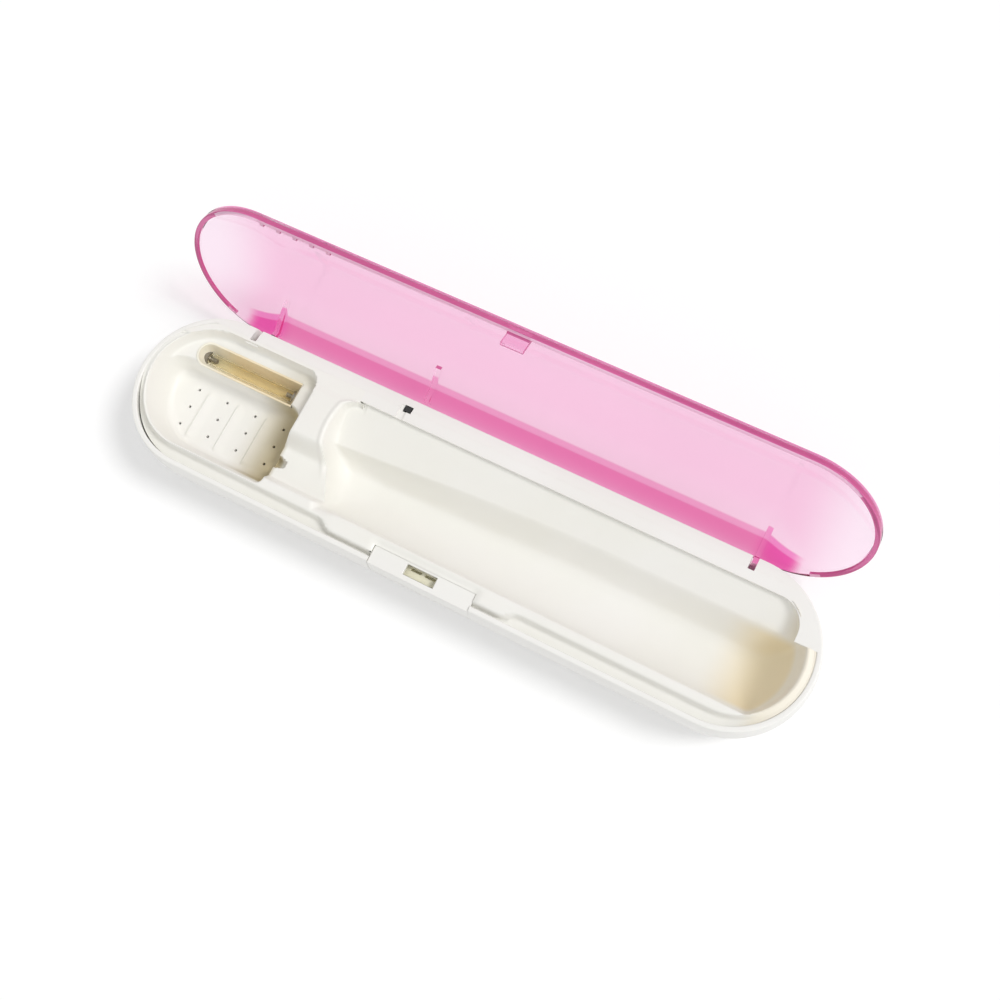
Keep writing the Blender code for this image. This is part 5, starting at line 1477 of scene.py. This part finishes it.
for face in lid.faces:
    face.material_index = foot_colour(face)
print("coloured faces:", sum(face.material_index > 0 for face in lid.faces))
hinge = Vector((0, HINGE_Y, HINGE_Z))
bmesh.ops.rotate(lid, verts=lid.verts, cent=hinge, matrix=Matrix.Rotation(-OPEN_ANGLE, 3, "X"))
lid_piece = piece("lid", lid, PINK_CLEAR, "lid", ["lid_shell"])
piped_light_and_foot_finishes = [("deep_pink_line", LINE_LIGHT, LINE_DARK), ("pale_pink_foot", FOOT_LIGHT, FOOT_DARK)]
for name, light, dark in piped_light_and_foot_finishes:
    made = finish(name, light, dark, (0.12, 0.22), POLISH)
    made.node_tree.nodes["Principled BSDF"].inputs["Transmission Weight"].default_value = 0.25
    lid_piece.data.materials.append(made)
smoothed(lid_piece, 35)
print("lid finished")

# %% [markdown]
# The button keeps its CAD shape, with its edges a little rounded as a
# moulding's are, and its window a little shorter at the front. A copy of the
# mesh is welded before the edges are bevelled.

# %% Soft button
WINDOW_FRONT = -23.4 * MM
WINDOW_HALF = 10 * MM
WINDOW_LOW = 19.5 * MM
WINDOW_CUT = 0.15 * MM
button = welded_copy("latch_button")
flat_edges = {"angle_limit": radians(1), "verts": button.verts, "edges": button.edges}
bmesh.ops.dissolve_limit(button, **flat_edges)
for vert in button.verts:
    on_edge = abs(vert.co.y - WINDOW_FRONT) < 0.05 * MM and vert.co.z > WINDOW_LOW
    if on_edge and abs(vert.co.x) < WINDOW_HALF:
        vert.co.y += WINDOW_CUT
button_piece = piece("button", button, WHITE, "button", ["latch_button"])
soft = button_piece.modifiers.new("soft", "BEVEL")
soft.width = 0.18 * MM
soft.segments = 2
soft.limit_method = "ANGLE"
soft.angle_limit = radians(50)
smoothed(button_piece)
print("button faces:", len(button_piece.data.polygons))

# %% [markdown]
# The yellow guide is a copy too. Its top reaches close under the window, as
# the photograph shows it, and its front a little further out.

# %% Guide
GUIDE_LIFT = 1.1 * MM
GUIDE_REACH = 0.45 * MM
GUIDE_FRONT = -22 * MM
guide = welded_copy("latch_guide")
guide_top = max(vert.co.z for vert in guide.verts)
for vert in guide.verts:
    if vert.co.z > guide_top - 0.1 * MM:
        vert.co.z += GUIDE_LIFT
    if vert.co.y < GUIDE_FRONT:
        vert.co.y -= GUIDE_REACH
YELLOW = finish("yellow_acetal", (0.97, 0.94, 0.76), (0.94, 0.90, 0.68), (0.4, 0.5), 0.003 * MM)
piece("guide", guide, YELLOW, "base", ["latch_guide"])
print("guide top:", round((guide_top + GUIDE_LIFT) / MM, 2), "mm")

# %% [markdown]
# The CAD nodes whose shape is right stay, each with a procedural finish. A row
# gives a finish's name, its two tones, its range of roughness, the height of
# its grain in millimetres and, for a drawn surface, its share of metal.

# %% Finishes for the CAD nodes that stay
GLASS = (0.96, 0.94, 0.86)
GLASS_THROUGH = (0.97, 0.96, 0.92)
NODE_FINISHES = {
    "white_plastic": WHITE,
    "tray_plastic": TRAY_WHITE,
    "pink_clear_plastic": PINK_CLEAR,
    "lamp_glass": clear_plastic("lamp_glass", GLASS, GLASS_THROUGH, (0.02, 0.05), 1.2),
    "reflector_lining": LINING,
    "acetal": YELLOW,
}
CAP = ((0.36, 0.33, 0.28), (0.24, 0.22, 0.19))
PLATING = ((0.82, 0.78, 0.68), (0.72, 0.67, 0.56))
STEEL = ((0.64, 0.64, 0.65), (0.5, 0.5, 0.52))
WINDING = ((0.5, 0.22, 0.09), (0.3, 0.12, 0.05))
DRAWN_ROWS = {
    "lamp_cap_metal": ("lamp_cap", *CAP, (0.4, 0.55), 0.003, 0.7),
    "bright_metal": ("plating", *PLATING, (0.22, 0.34), 0.002, 1.0),
    "steel": ("drawn_steel", *STEEL, (0.28, 0.42), 0.002, 1.0),
    "ferrite_and_copper": ("varnished_winding", *WINDING, (0.35, 0.5), 0.01, 0.0),
}
BLACK = ((0.03, 0.03, 0.03), (0.018, 0.018, 0.018))
BOARD = ((0.06, 0.26, 0.11), (0.04, 0.2, 0.08))
CELL = ((0.2, 0.22, 0.26), (0.14, 0.16, 0.19))
SLEEVE = ((0.06, 0.08, 0.2), (0.04, 0.05, 0.14))
MOULDED_ROWS = {
    "black_plastic": ("black_moulding", *BLACK, (0.4, 0.55), 0.004),
    "board_green": ("board_mask", *BOARD, (0.35, 0.5), 0.004),
    "cell_sleeve": ("cell_sleeve", *CELL, (0.25, 0.35), 0.002),
    "capacitor_sleeve": ("capacitor_sleeve", *SLEEVE, (0.3, 0.4), 0.002),
}
for slot, (*tones, grain, metallic) in DRAWN_ROWS.items():
    NODE_FINISHES[slot] = finish(*tones, grain * MM, DRAWN, metallic)
for slot, (*tones, grain) in MOULDED_ROWS.items():
    NODE_FINISHES[slot] = finish(*tones, grain * MM)
SLOT_OF = {row["node"]: row["material_slot"] for row in frame["record"]["subparts"]}
for name, node in frame["nodes"].items():
    for place in node.material_slots:
        place.material = NODE_FINISHES[SLOT_OF[name]]
print("finishes placed:", len(frame["nodes"]))

# %% [markdown]
# The two latch springs are welded copies of their CAD coils, riding on the base.

# %% Latch springs
steel = NODE_FINISHES["steel"]
for side in ("left", "right"):
    node = "latch_spring_" + side
    spring = piece("spring_" + side, welded_copy(node), steel, "base", [node])
    smoothed(spring, 60)
    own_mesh(spring)
